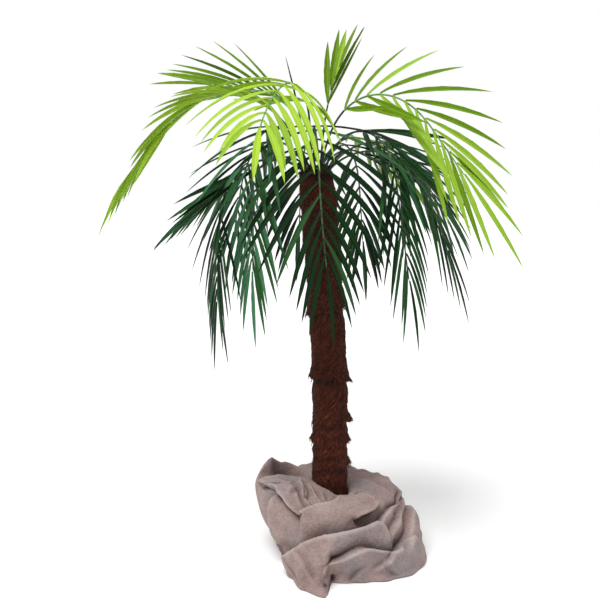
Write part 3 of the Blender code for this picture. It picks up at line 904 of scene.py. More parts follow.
@dataclass(frozen=True)
class Nudge:
    """How a leaflet is eased aside where it would touch another."""

    lift: float
    spread: float
    twist: float
    size: float

    @staticmethod
    def ways() -> list["Nudge"]:
        """Ways to ease a leaflet aside, the smallest first."""
        found = []
        lifts = (0, 6, -6, 12, -12, 18, -18, 25, -25)
        for size, lift, spread, twist in product((1.0, 0.8, 0.62), lifts, (0, 5, -5, 10), (0, 30)):
            effort = abs(lift) + abs(spread) + 0.3 * twist + 200 * (1 - size)
            found.append((effort, Nudge(lift, spread, twist, size)))
        return [nudge for _, nudge in sorted(found, key=lambda way: way[0])]


NUDGES = Nudge.ways()


class Leaflet:
    """One blade: its line from the rib to its tip, and how it lies along that line."""

    ROOT_SHARE = 0.42  # width at the rib, as a share of the widest
    WIDEST = 0.42
    FULL_LIGHT = 1.60  # width beside that of the solid's straight-sided blade
    FULL_DARK = 1.55
    SHOULDER = 1.2  # how its width grows up to the widest, as a power
    POINT = 0.80  # how its width shrinks from there
    WAVE = 0.05  # how unevenly it is cut
    MIDRIB_HALF = 0.0009
    MIDRIB_TIP = 0.35  # the midrib's height at the tip, beside that at the root
    FOLD_ROOT = 46.0  # degrees that each half is folded up, at the root and further out
    FOLD_OPEN = 27.0
    FOLD_ZONE = 0.3  # share of the blade over which it opens
    CLOSED_TWIST = 80  # degrees that a closed frond's leaflets are turned on edge

    def __init__(self, rib: Rib, share: float, side: int, nudge: Nudge) -> None:
        """Works out how the blade hangs.

        Args:
            rib: The rib that it grows from.
            share: Where on the leafy stretch it grows, from 0 to 1.
            side: 1 for the left, -1 for the right, 0 for the tip.
            nudge: How it is eased aside.
        """
        frond = rib.frond
        self.frond = frond
        self.side = side
        self.distance = min(frond.length, STALK + (frond.length - STALK) * share)
        point, along, across, above = rib.at(self.distance)
        self.place = 31.0 * share + 7.0 * side  # what its stray values go by
        strays = [UNEVEN_ANGLE * frond.stray(self.place, salt) * (1 - 0.7 * frond.close) for salt in (1, 2)]
        open_angle = blended(*frond.spread, share) * (1 - frond.close) + FOLDED_ANGLE * frond.close
        angle = math.radians(open_angle + strays[0] + nudge.spread) * (side != 0)
        lift = math.radians(nudge.lift + strays[1] + (frond.lifts[0 if side > 0 else 1] if side else 0.0))
        if side:
            heading = along * math.cos(angle)
            heading += math.sin(angle) * (side * math.cos(lift) * across + math.sin(lift) * above)
        else:
            heading = along * math.cos(lift) + above * math.sin(lift)
        heading.normalize()
        full = LEAFLET_SHORT + LEAFLET_EXTRA * math.sin(math.pi * min(1.0, share + 0.2))
        length = nudge.size * blended(*frond.reach, share) * full
        self.length = length * (1 + UNEVEN_SIZE * frond.stray(self.place, 3))
        self.twist = math.radians(self.CLOSED_TWIST * frond.close + nudge.twist)
        self.wide = (side * heading.cross(above) if side else across.copy()).normalized()
        half = rib.half_width(self.distance)
        flat = along if side else across
        start = point + side * half * across
        self.root = (start, 0.5 * LEAFLET_ROOT * flat, self.upper_sign * half * above)
        self.half_width = 0.5 * (LEAFLET_WIDTH_LIGHT if frond.light else LEAFLET_WIDTH_DARK)
        self._follow(start, heading, along)

    @property
    def upper_sign(self) -> int:
        """Which way the blade's face is from the cross of its flat and its way."""
        return 1 if self.side > 0 else -1

    def _follow(self, start: Vector, heading: Vector, along: Vector) -> None:
        """Follows the blade as it sags and curls forward."""
        self.line = [start.copy()]
        self.ways = []
        for number in range(LEAFLET_STEPS):
            share = (number + 0.5) / LEAFLET_STEPS
            way = heading + FORWARD_CURL * share * along
            way.z -= SAG_WEIGHT * self.frond.sag * share
            way.normalize()
            self.ways.append(way)
            self.line.append(self.line[-1] + way * (self.length / LEAFLET_STEPS))

    def lying(self, way: Vector) -> tuple[Vector, Vector]:
        """Unit directions across the blade and through it, where it goes this way."""
        flat = (self.wide - self.wide.dot(way) * way).normalized()
        flat = Matrix.Rotation(self.twist * self.side, 3, way) @ flat
        return flat, flat.cross(way).normalized()

    def probe(self) -> BVHTree:
        """A search tree of the blade, a little fat, for testing what it would touch."""
        sections = [self.root]
        for share, width in zip(LEAFLET_STATIONS, LEAFLET_WIDTHS):
            number = round(share * LEAFLET_STEPS)
            flat, thick = self.lying(self.ways[number])
            half_thick = 0.5 * LEAFLET_THICKNESS * (0.55 + 0.45 * width)
            sections.append((self.line[number], flat * width * self.half_width, thick * half_thick))
        verts = []
        for centre, flat, thick in sections:
            fat_flat = flat * (1 + CLEARANCE / flat.length)
            fat_thick = thick * (1 + CLEARANCE / thick.length)
            verts += [centre + a * fat_flat + b * fat_thick for a, b in ((1, 1), (-1, 1), (-1, -1), (1, -1))]
        tip = self.line[-1]
        verts.append(tip + (tip - sections[-1][0]).normalized() * CLEARANCE)
        faces = []
        for corner in range(4):
            after = (corner + 1) % 4
            for base in (0, 4):
                faces.append((base + corner, base + 4 + corner, base + 4 + after, base + after))
            faces.append((8 + corner, 12, 8 + after))
        return search_tree(verts, faces)

    def width_at(self, share: float) -> float:
        """Width of the blade at a share of its length, as a share of its widest: slim, broad, long-pointed."""
        if share < self.WIDEST:
            return blended(self.ROOT_SHARE, 1.0, math.sin(0.5 * math.pi * share / self.WIDEST) ** self.SHOULDER)
        return math.cos(0.5 * math.pi * (share - self.WIDEST) / (1 - self.WIDEST)) ** self.POINT

    def placer(self) -> Placer:
        """What bends the pattern into this blade: folded up along its midrib, and closing towards the rib."""
        frames = []
        full = self.FULL_LIGHT if self.frond.light else self.FULL_DARK
        for number, share in enumerate(shares(LEAFLET_STEPS)):
            way = self.ways[max(0, number - 1)] + self.ways[min(LEAFLET_STEPS - 1, number)]
            way.normalize()
            _, thick = self.lying(way)
            up = self.upper_sign * thick
            wave = 1 + self.WAVE * self.frond.stray(self.place + 3.1 * share, 5)
            half = full * self.half_width * self.width_at(share) * wave
            fold = math.radians(blended(self.FOLD_ROOT, self.FOLD_OPEN, smoothstep(share / self.FOLD_ZONE)))
            body = self.MIDRIB_HALF * blended(1.0, self.MIDRIB_TIP, share)
            flat, lift = half * math.cos(fold) * up.cross(way), half * math.sin(fold) * up
            frames.append((self.line[number], flat, lift, body * up))
        return bent(frames)


@dataclass
class Crown:
    """All the fronds, grown round the head by the same rule as their solids."""

    strays: float = 0.30  # share of leaflets that take the tone next to their frond's
    collar: float = 0.0042  # half the length of the collar at each pair of leaflets
    collar_size: float = 1.38  # how thick the collar is, beside the rib
    slim_end: float = 0.010  # stretch over which a rib grows slim at its tip
    tip_size: float = 0.45
    stalk_rings: int = 14
    stalk_foot: float = 1.12  # how thick a stalk is in the head, beside its plain width
    blade: Pattern = Pattern(4, LEAFLET_STEPS)
    ribs: list[Rib] = field(default_factory=list)
    leaflets: list[Leaflet] = field(default_factory=list)

    def build(self) -> None:
        """Grows every frond and makes the pieces."""
        _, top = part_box("trunk_head")
        head = Vector((-HEAD_LEAN, 0.0, top.z))
        self.ribs = [Rib(frond, head) for frond in FRONDS]
        self._grow()
        self._make_leaflets()
        self._make_ribs()

    @staticmethod
    def _standing() -> list[BVHTree]:
        """Search trees of the head, the trunk and its sleeves."""
        solids = [node.data for name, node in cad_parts.items() if name.startswith(("trunk", "coir"))]
        return [
            search_tree((vert.co for vert in solid.vertices), [face.vertices[:] for face in solid.polygons])
            for solid in solids
        ]

    def _grow(self) -> None:
        """Grows the leaflets of every frond, each eased clear of the trunk, the ribs and those before it."""
        rib_trees = {rib.frond.name: rib.probe() for rib in self.ribs}
        done = self._standing()
        for rib in self.ribs:
            others = done + [tree for name, tree in rib_trees.items() if name != rib.frond.name]
            own: list[BVHTree] = []
            places = [(number / rib.pairs, side) for number in range(rib.pairs) for side in (1, -1)]
            for share, side in [*places, (1.0, 0)]:
                found = self._chosen(rib, share, side, others, own)
                if found:
                    self.leaflets.append(found[0])
                    own.append(found[1])
            done += own

    def _chosen(self, rib: Rib, share: float, side: int, others: list[BVHTree],
                own: list[BVHTree]) -> tuple[Leaflet, BVHTree] | None:
        """The least eased leaflet here that touches nothing, with its search tree, or None."""
        for nudge in NUDGES:
            leaflet = Leaflet(rib, share, side, nudge)
            tree = leaflet.probe()
            if not any(tree.overlap(other) for other in (*others, *own)):
                return leaflet, tree
        return None

    @staticmethod
    def _kind(light: bool) -> str:
        """The word for light or dark fronds in names."""
        return "light" if light else "dark"

    @staticmethod
    def _nodes(start: str) -> list[str]:
        """Names of the CAD nodes that start this way."""
        return [name for name in sorted(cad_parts) if name.startswith(start)]

    def _make_leaflets(self) -> None:
        """Makes one piece of each tone of leaflets."""
        dealer = random.Random(SEED)
        dealt: dict[Tone, list[Placer]] = {tone: [] for tone in Tone}
        for leaflet in self.leaflets:
            tone = leaflet.frond.tone
            if dealer.random() < self.strays:
                tone = tone.neighbour
            dealt[tone].append(leaflet.placer())
        for tone, placers in dealt.items():
            kind = self._kind(tone.light)
            placed(self.blade.many(placers), f"leaflets_{tone.name.lower()}", tone.value.material(),
                   f"{kind}_leaf", *self._nodes(f"frond_{kind}"), sharp=40)

    def _rib_rings(self, rib: Rib) -> list[Ring]:
        """Rings along a frond's leafy stretch, with a collar at each pair of leaflets and a slim end."""
        length = rib.frond.length
        collar = ((-1.0, 1.0), (-0.7, self.collar_size), (0.7, 0.94 * self.collar_size), (1.0, 1.0))
        rings = [rib.ring(STALK - LEAFLET_ROOT)]
        for number in range(rib.pairs):
            middle = STALK + (length - STALK) * number / rib.pairs
            if number:
                rings.append(rib.ring(middle - 0.5 * LEAFLET_PITCH))
            rings += [rib.ring(middle + away * self.collar, size) for away, size in collar]
        return [*rings, rib.ring(length - self.slim_end), rib.ring(length, self.tip_size)]

    def _stalk_rings(self, rib: Rib) -> list[Ring]:
        """Rings along a bare stalk, thickened a little where it stands in the head."""
        end = STALK - LEAFLET_ROOT
        sizes = [(share, self.stalk_foot - (self.stalk_foot - 1) * smoothstep(share / 0.2))
                 for share in shares(self.stalk_rings)]
        return [rib.ring(end * share, size) for share, size in sizes]

    def _make_ribs(self) -> None:
        """Makes the ribs and the stalks of the light and of the dark fronds."""
        finishes = {
            True: StemFinish("light_rib", shade_of(120, 172, 84), shade_of(74, 128, 62)),
            False: StemFinish("dark_rib", shade_of(54, 96, 60), shade_of(26, 60, 32)),
        }
        stalk_finish = StemFinish("stalk", shade_of(30, 66, 38), shade_of(14, 30, 18), 0.42).material()
        for light, finish in finishes.items():
            ribs = [rib for rib in self.ribs if rib.frond.light is light and rib.frond.length > STALK]
            kind = self._kind(light)
            for start, name, rings, material in (
                ("frond", "ribs", self._rib_rings, finish.material()),
                ("stalk", "stalks", self._stalk_rings, stalk_finish),
            ):
                placed(gathered(swept(rings(rib)) for rib in ribs), f"{name}_{kind}", material, f"{kind}_leaf",
                       *self._nodes(f"{start}_{kind}"), sharp=50)


# ---------------------------------------------------------------- trunk


@dataclass(frozen=True)
class LipBend:
    """Where a sleeve's lip stands out and rides up, round one azimuth in degrees."""

    azimuth: float
    wide: float  # how far round it reaches, in degrees
    up: float
    out: float


LIPS = {
    1: (LipBend(200, 50, -0.004, 0.009), LipBend(330, 40, 0.010, 0.006), LipBend(90, 50, 0.004, 0.010)),
    2: (LipBend(185, 46, -0.007, 0.014), LipBend(345, 60, 0.024, 0.010), LipBend(80, 34, 0.006, 0.010)),
    3: (LipBend(190, 40, 0.016, 0.013), LipBend(262, 52, 0.018, 0.010), LipBend(345, 34, 0.002, 0.018),
        LipBend(96, 40, 0.010, 0.012)),
    4: (LipBend(350, 34, 0.020, 0.018), LipBend(130, 44, -0.004, 0.012), LipBend(236, 30, 0.010, 0.002)),
    5: (LipBend(190, 40, 0.018, 0.011), LipBend(352, 30, 0.016, 0.012), LipBend(66, 40, -0.004, 0.010)),
    6: (LipBend(338, 46, 0.014, 0.015), LipBend(110, 46, 0.008, 0.011), LipBend(230, 34, 0.004, 0.003)),
}


@dataclass
class Sleeve:
    """One coir sleeve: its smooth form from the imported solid, and the relief of its matting."""

    number: int  # counted from the top
    top: float
    lip: float  # height of its lower edge
    bore: float = 0.0495  # radius of its inside
    wall: float = 0.0065
    barrel: float = 0.0040  # how far it swells where it is fullest
    flare: float = 0.0090  # how far it stands out at the lip
    lap: float = 0.015  # how far the lip of the sleeve above hangs over it
    lip_wall: float = 0.0045
    tuck: float = 0.024  # how far its top reaches up under the sleeve above
    ragged: float = 0.0075  # how far the lip's edge strays up and down
    pressed: float = 0.0080  # how far the lip lies pressed in, away from where it stands out
    flared: float = 0.058  # height above the lip from which it starts to stand out
    shift_zone: float = 0.060  # height above the lip over which the lip's rise dies out
    shaded: float = 0.034  # height below its top over which the lip above keeps it dark, as painted shade
    swell: float = 0.003  # how far the lip swells in and out
    lumps: float = 0.0026  # height of the matting's lumps
    fibres: float = 0.0012  # height of the threads wound over them
    row: float = 0.0032  # height of a row of its mesh
    columns: int = 150

    SLIMMING = 0.002  # how much thinner the walls are at the height where the trunk is slimmest
    SLIM_HEIGHT = 1.3
    STAND_CURVE = 1.6  # how late it bends out towards the lip, as a power
    FULLEST = 0.22  # how far below its lap it is fullest, as a share of its length
    WAIST = 0.62  # how far below its top it is slim again
    BRIM = 0.014  # height of the brim above the lip

    @staticmethod
    def lean_at(height: float) -> float:
        """How far the trunk's centre stands from the foot's axis at a height."""
        return -HEAD_LEAN * max(0.0, (height - LEAN_FROM) / (HEAD_TOP - LEAN_FROM)) ** 1.5

    @property
    def outer(self) -> float:
        """Radius of the plain wall at its top."""
        return self.bore + self.wall - self.SLIMMING * smoothstep(self.top / self.SLIM_HEIGHT)

    def smooth_radius(self, height: float) -> float:
        """Outer radius at a height before any relief."""
        length = self.top - self.lip
        stations = (
            (self.top + self.tuck, self.bore + 0.002), (self.top, self.outer),
            (self.top - self.lap, self.outer + 0.0005),
            (self.top - self.lap - self.FULLEST * length, self.outer + self.barrel),
            (self.top - self.WAIST * length, self.outer + 0.4 * self.barrel),
            (self.lip + self.BRIM, self.outer + 0.75 * self.flare), (self.lip, self.outer + self.flare),
        )
        for (high, first), (low, second) in zip(stations, stations[1:]):
            if height >= low:
                return blended(first, second, smoothstep((high - height) / max(1e-6, high - low)))
        return stations[-1][1]

    def relief(self, angle: float, height: float) -> float:
        """How far the matting stands out at a place."""
        lumps = self.lumps * cloud_round(angle, 1.7, height * 17 + 9.0 * self.number)
        wound = cloud_round(angle + 9.0 * height, 8.5, height * 11)
        crossed = cloud_round(angle - 6.0 * height, 7.5, height * 13 + 4.0)
        open_edge = smoothstep((self.top - height) / self.lap)
        near_lip = max(0.0, min(1.0, (self.lip + self.flared - height) / self.flared)) ** self.STAND_CURVE
        stand = self.swell * cloud_round(angle, 2.6, 5.0 * self.number) - self.pressed + self.bend(angle)[1]
        return open_edge * (lumps + self.fibres * (wound + crossed)) + near_lip * stand

    def bend(self, angle: float) -> tuple[float, float]:
        """How far the lip rides up and stands out at an angle, in radians."""
        up = out = 0.0
        for bend in LIPS.get(self.number, ()):
            share = math.exp(-((turned(math.degrees(angle), bend.azimuth) / bend.wide) ** 2))
            up += share * bend.up
            out += share * bend.out
        return up, out

    def hang(self, angle: float) -> float:
        """How far the lip's edge is above or below its plain height at an angle."""
        slow = cloud_round(angle, 1.5, 3.3 * self.number)
        quick = cloud_round(angle, 7.0, 6.1 * self.number)
        return self.ragged * (0.7 * slow + 0.9 * quick) + self.bend(angle)[0]

    def place(self, angle: float, height: float, out: float) -> Vector:
        """A point a little way out from the matting, or on it where that is 0."""
        sunk = height + self.hang(angle) * smoothstep((self.lip + self.shift_zone - height) / self.shift_zone)
        radius = self.smooth_radius(height) + self.relief(angle, height) + out
        return round_the_axis(angle, radius, sunk) + Vector((self.lean_at(sunk), 0.0, 0.0))

    def mesh(self) -> bmesh.types.BMesh:
        """The sleeve, spun from its section and pressed into its relief."""
        shape = bmesh.new()
        top = self.top + self.tuck * (self.number > 1)
        rows = max(8, round((top - self.lip) / self.row))
        heights = [blended(top, self.lip, share) for share in shares(rows)]
        outside = [(self.smooth_radius(height), height) for height in heights]
        under = outside[-1][0] - self.lip_wall
        inside = [(under, self.lip + 0.001), (under, self.lip + 0.012), (self.bore, self.lip + 0.019),
                  (self.bore, 0.5 * (self.top + self.lip)), (self.bore, top)]
        verts = [shape.verts.new((radius, 0.0, height)) for radius, height in (*outside, *inside)]
        edges = [shape.edges.new(pair) for pair in zip(verts, verts[1:] + verts[:1])]
        bmesh.ops.spin(
            shape, geom=verts + edges, cent=(0, 0, 0), axis=(0, 0, 1), angle=math.tau, steps=self.columns,
            use_merge=True, use_normal_flip=False, use_duplicate=False,
        )
        bmesh.ops.remove_doubles(shape, verts=shape.verts, dist=1e-6)
        shade = shape.verts.layers.float.new("shade")
        for vert in shape.verts:
            angle = math.atan2(vert.co.y, vert.co.x)
            height = vert.co.z
            radius = math.hypot(vert.co.x, vert.co.y)
            # painted shade, strongest at the top, where the lip of the sleeve above hangs over it
            vert[shade] = smoothstep((height - self.top + self.shaded) / self.shaded)
            if radius > self.bore + 0.001:
                vert.co = self.place(angle, height, radius - self.smooth_radius(height))
            else:
                vert.co.x += self.lean_at(height)
        return shape


class Lay(Enum):
    """How a loose fibre lies."""

    LAID = "laid"  # flat on the matting
    HAIR = "hair"  # standing off it
    FRINGE = "fringe"  # hanging from a lip
    PLUG = "plug"  # among the feet of the stalks


@dataclass
class Trunk:
    """The coir-covered trunk: seven sleeves, their loose fibre, and the core that stays as it is."""

    sleeves: list[Sleeve] = field(default_factory=list)
    laid: Pattern = Pattern(3, 5)
    laid_count: int = 5200
    hair_count: int = 1700
    fringe_count: int = 1500
    plug_count: int = 420
    thickness: float = 0.00042  # half that of a plain fibre
    thick: float = 2.2  # how thick the thicker fibres of the matting are, beside the plain ones
    thick_share: float = 0.22
    red_share: float = 0.36
    slope: tuple[float, float] = (0.72, 0.24)  # mean and scatter of a fibre's lean from upright, in radians

    REACH = {Lay.LAID: (0.022, 0.062), Lay.HAIR: (0.012, 0.032), Lay.FRINGE: (0.008, 0.022)}  # least, most
    STAND = {Lay.HAIR: (0.003, 0.0075), Lay.FRINGE: (0.002, 0.0078)}  # how far the end stands off
    SUNK = {Lay.LAID: 0.0003, Lay.HAIR: 0.0004, Lay.FRINGE: 0.0006}  # how deep the start is in the matting
    BOW = (0.0002, 0.0012)  # how far the middle of a laid fibre stands off
    CURL = 0.25  # how far a fibre curls sideways at most, beside its turn
    STOUTNESS = (0.7, 1.5)  # the thinnest and the thickest, beside a plain fibre
    WAYS = (1, 1, 1, 1, -1)  # which way fibres lean: one in five goes against the grain

    LOOSE = (  # both ends of each loose lock, in degrees and height, and half its thickness
        ((306.0, 0.590), (252.0, 0.516), 0.0013),
        ((322.0, 0.560), (286.0, 0.530), 0.0009),
        ((352.0, 0.352), (330.0, 0.318), 0.0010),
        ((140.0, 0.640), (104.0, 0.580), 0.0012),
        ((36.0, 0.480), (72.0, 0.430), 0.0011),
    )

    def build(self) -> None:
        """Makes every piece of the trunk."""
        names = sorted(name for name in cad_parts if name.startswith("coir_sleeve"))
        for number, name in enumerate(names, start=1):
            low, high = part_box(name)
            self.sleeves.append(Sleeve(number, high.z, low.z))
        tones = shade_of(24, 8, 4), shade_of(74, 32, 19), shade_of(122, 56, 33)
        coir = CoirFinish("coir_matting", *tones, climb=-15.0).material()
        fine = CoirFinish("coir_fine", *tones, climb=13.0, lock=270.0).material()
        for sleeve, name in zip(self.sleeves, names):
            finish = fine if sleeve is self.sleeves[-1] else coir
            placed(turned_out(sleeve.mesh()), f"coir_wrap_{sleeve.number}", finish, "coir", name, sharp=60)
        self._strands()
        wood = StemFinish("core_wood", shade_of(92, 66, 46), shade_of(58, 40, 28), 0.8).material()
        for name in ("trunk", "trunk_head"):
            dressed(name, wood)

    @staticmethod
    def _tube(points: Sequence[Vector], thickness: float, axis: Vector | None = None) -> Placer:
        """What bends the pattern into a fibre.

        Args:
            points: The points that it runs through.
            thickness: Half its thickness.
            axis: What its outer side faces away from, if that isn't the trunk's middle beside it.

        Returns:
            What bends the pattern into it.
        """
        if axis is None:
            height = points[len(points) // 2].z
            axis = Vector((Sleeve.lean_at(height), 0.0, height))
        frames = []
        for number, point in enumerate(points):
            before, after = points[max(0, number - 1)], points[min(len(points) - 1, number + 1)]
            way = (after - before).normalized()
            out = (point - axis).normalized()
            side = out.cross(way).normalized()
            body = way.cross(side).normalized() * thickness
            frames.append((point, side * thickness, Vector((0.0, 0.0, 0.0)), body))
        return bent(frames)

    def _strand(self, dice: random.Random, sleeve: Sleeve, lay: Lay) -> Placer:
        """One fibre of a sleeve.

        Args:
            dice: Where the chance comes from.
            sleeve: The sleeve that it lies on.
            lay: How it lies.

        Returns:
            What bends the pattern into it.
        """
        steps = self.laid.rings
        angle = dice.uniform(0, math.tau)
        if lay is Lay.FRINGE:
            start, drop = sleeve.lip + dice.uniform(0.002, 0.014), dice.uniform(*self.REACH[lay])
            turn, stand = dice.gauss(0, 0.10), dice.uniform(*self.STAND[lay])
            lift = [blended(-self.SUNK[lay], stand, share ** 1.2) for share in shares(steps)]
        else:
            grain = 1.0 if sleeve is self.sleeves[-1] else -1.0
            slope = grain * dice.choice(self.WAYS) * dice.gauss(*self.slope)
            reach = dice.uniform(*self.REACH[lay])
            drop = reach * math.cos(slope)
            turn = reach * math.sin(slope) / sleeve.outer
            room = sleeve.top - sleeve.lip - 1.7 * sleeve.lap - drop
            start = sleeve.lip + drop + dice.random() * max(0.001, room)
            bow = dice.uniform(*self.BOW)  # drawn for every fibre, so that each draw keeps its place
            if lay is Lay.LAID:
                lift = [bow * math.sin(math.pi * share) - self.SUNK[lay] for share in shares(steps)]
            else:
                stand = dice.uniform(*self.STAND[lay])
                lift = [stand * share ** 1.6 - self.SUNK[lay] for share in shares(steps)]
        curl = dice.uniform(-self.CURL, self.CURL) * turn
        points = []
        for share, out in zip(shares(steps), lift):
            here = angle + turn * share + curl * math.sin(math.pi * share)
            height = start - drop * share
            point = sleeve.place(here, max(sleeve.lip, height), out)
            point.z += min(0.0, height - sleeve.lip)
            points.append(point)
        thick = self.thick if lay is Lay.LAID and dice.random() < self.thick_share else 1.0
        return self._tube(points, self.thickness * thick * dice.uniform(*self.STOUTNESS))

    def _loose_lock(self, start: tuple[float, float], end: tuple[float, float], thickness: float) -> Placer:
        """One thick lock of fibre that has come away and lies slack on the matting.

        Args:
            start: Its first end's azimuth, in degrees, and height.
            end: Its other end's azimuth and height.
            thickness: Half its thickness.

        Returns:
            What bends the pattern into it.
        """
        points = []
        for share in shares(self.laid.rings):
            height = blended(start[1], end[1], share)
            angle = math.radians(blended(start[0], end[0], share) + 9.0 * math.sin(math.pi * share))
            sleeve = max((each for each in self.sleeves if each.lip <= height), key=lambda each: each.lip)
            points.append(sleeve.place(angle, height, thickness * (1.0 + 2.5 * math.sin(math.pi * share))))
        return self._tube(points, thickness)

    def _strands(self) -> None:
        """Makes the loose fibre, in one piece for each way that it lies and each tone."""
        dice = random.Random(SEED + 1)
        finishes = {
            "dark": StrandFinish("coir_dark", shade_of(36, 15, 9), shade_of(72, 33, 21)).material(),
            "red": StrandFinish("coir_red", shade_of(76, 33, 20), shade_of(118, 58, 35)).material(),
        }
        area = sum(sleeve.top - sleeve.lip for sleeve in self.sleeves)
        made: dict[tuple[Lay, str], list[Placer]] = {}
        for sleeve in self.sleeves:
            share = (sleeve.top - sleeve.lip) / area
            counts = {
                Lay.LAID: round(self.laid_count * share), Lay.HAIR: round(self.hair_count * share),
                Lay.FRINGE: round(self.fringe_count / len(self.sleeves)),
            }
            for lay, count in counts.items():
                for _ in range(count):
                    tone = "red" if dice.random() < self.red_share else "dark"
                    made.setdefault((lay, tone), []).append(self._strand(dice, sleeve, lay))
        for start, end, thickness in self.LOOSE:
            made[(Lay.LAID, "red")].append(self._loose_lock(start, end, thickness))
        _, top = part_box("trunk_head")
        for _ in range(self.plug_count):
            made.setdefault((Lay.PLUG, "dark"), []).append(self._plug_strand(dice, top.z))
        for (lay, tone), placers in made.items():
            placed(self.laid.many(placers), f"coir_{lay.value}_{tone}", finishes[tone], "coir")

    def _plug_strand(self, dice: random.Random, foot_height: float) -> Placer:
        """One fibre of the tuft among the feet of the stalks."""
        angle = dice.uniform(0, math.tau)
        inner = dice.uniform(0.030, 0.047)
        height = dice.uniform(0.012, 0.034)
        lean = dice.uniform(-0.006, 0.008)
        turn = dice.uniform(-0.5, 0.5)
        middle = Vector((-HEAD_LEAN, 0.0, 0.0))
        points = []
        for share in shares(self.laid.rings):
            up = foot_height - 0.004 + height * share
            points.append(round_the_axis(angle + turn * share, inner + lean * share, up) + middle)
        return self._tube(points, self.thickness * 1.6, Vector((-HEAD_LEAN, 0.0, points[0].z)))


# ---------------------------------------------------------------- foot and cloth


@dataclass
class Foot:
    """The cement foot, which keeps its solid's shape."""

    finish: CementFinish = CementFinish()

    def build(self) -> None:
        """Gives the foot its finish."""
        dressed("foot", self.finish.material())


WAY_OUT = 0.45  # length of the cloth from trunk to hem


@dataclass(frozen=True)
class Hang:
    """How the cloth lies at one azimuth: its reach low, half way up and high, its crest and its collar."""

    azimuth: float
    low: float
    mid: float
    high: float
    crest_radius: float
    crest: float
    collar: float  # height where it meets the trunk

    def sizes(self) -> tuple[float, ...]:
        """The hang's six sizes."""
        return self.low, self.mid, self.high, self.crest_radius, self.crest, self.collar


HANGS = (
    Hang(0, 0.325, 0.296, 0.245, 0.170, 0.232, 0.228),
    Hang(12, 0.315, 0.275, 0.262, 0.195, 0.232, 0.232),
    Hang(24, 0.290, 0.262, 0.256, 0.205, 0.234, 0.234),
    Hang(38, 0.255, 0.245, 0.232, 0.190, 0.234, 0.238),
    Hang(52, 0.235, 0.236, 0.212, 0.165, 0.242, 0.242),
    Hang(90, 0.215, 0.215, 0.198, 0.130, 0.256, 0.246),
    Hang(130, 0.215, 0.220, 0.205, 0.150, 0.258, 0.250),
    Hang(148, 0.210, 0.222, 0.225, 0.182, 0.288, 0.256),
    Hang(163, 0.186, 0.226, 0.248, 0.204, 0.318, 0.262),
    Hang(180, 0.168, 0.228, 0.256, 0.235, 0.283, 0.270),
    Hang(190, 0.162, 0.224, 0.246, 0.205, 0.262, 0.276),
    Hang(204, 0.166, 0.218, 0.222, 0.150, 0.262, 0.276),
    Hang(218, 0.182, 0.208, 0.205, 0.125, 0.258, 0.272),
    Hang(237, 0.236, 0.216, 0.192, 0.115, 0.250, 0.266),
    Hang(252, 0.290, 0.226, 0.190, 0.112, 0.243, 0.260),
    Hang(266, 0.322, 0.230, 0.190, 0.112, 0.238, 0.254),
    Hang(270, 0.226, 0.230, 0.190, 0.115, 0.236, 0.248),
    Hang(285, 0.236, 0.232, 0.194, 0.120, 0.232, 0.236),
    Hang(298, 0.252, 0.236, 0.198, 0.124, 0.232, 0.226),
    Hang(312, 0.284, 0.246, 0.202, 0.128, 0.232, 0.221),
    Hang(328, 0.318, 0.262, 0.208, 0.134, 0.232, 0.222),
    Hang(344, 0.330, 0.288, 0.218, 0.145, 0.230, 0.226),
)


@dataclass(frozen=True)
class Places:
    """Places all over the cloth, by spoke and by row."""

    azimuth: np.ndarray  # in degrees
    share: np.ndarray  # of the way out from the trunk to the hem
    radius: np.ndarray  # distance from the foot's axis


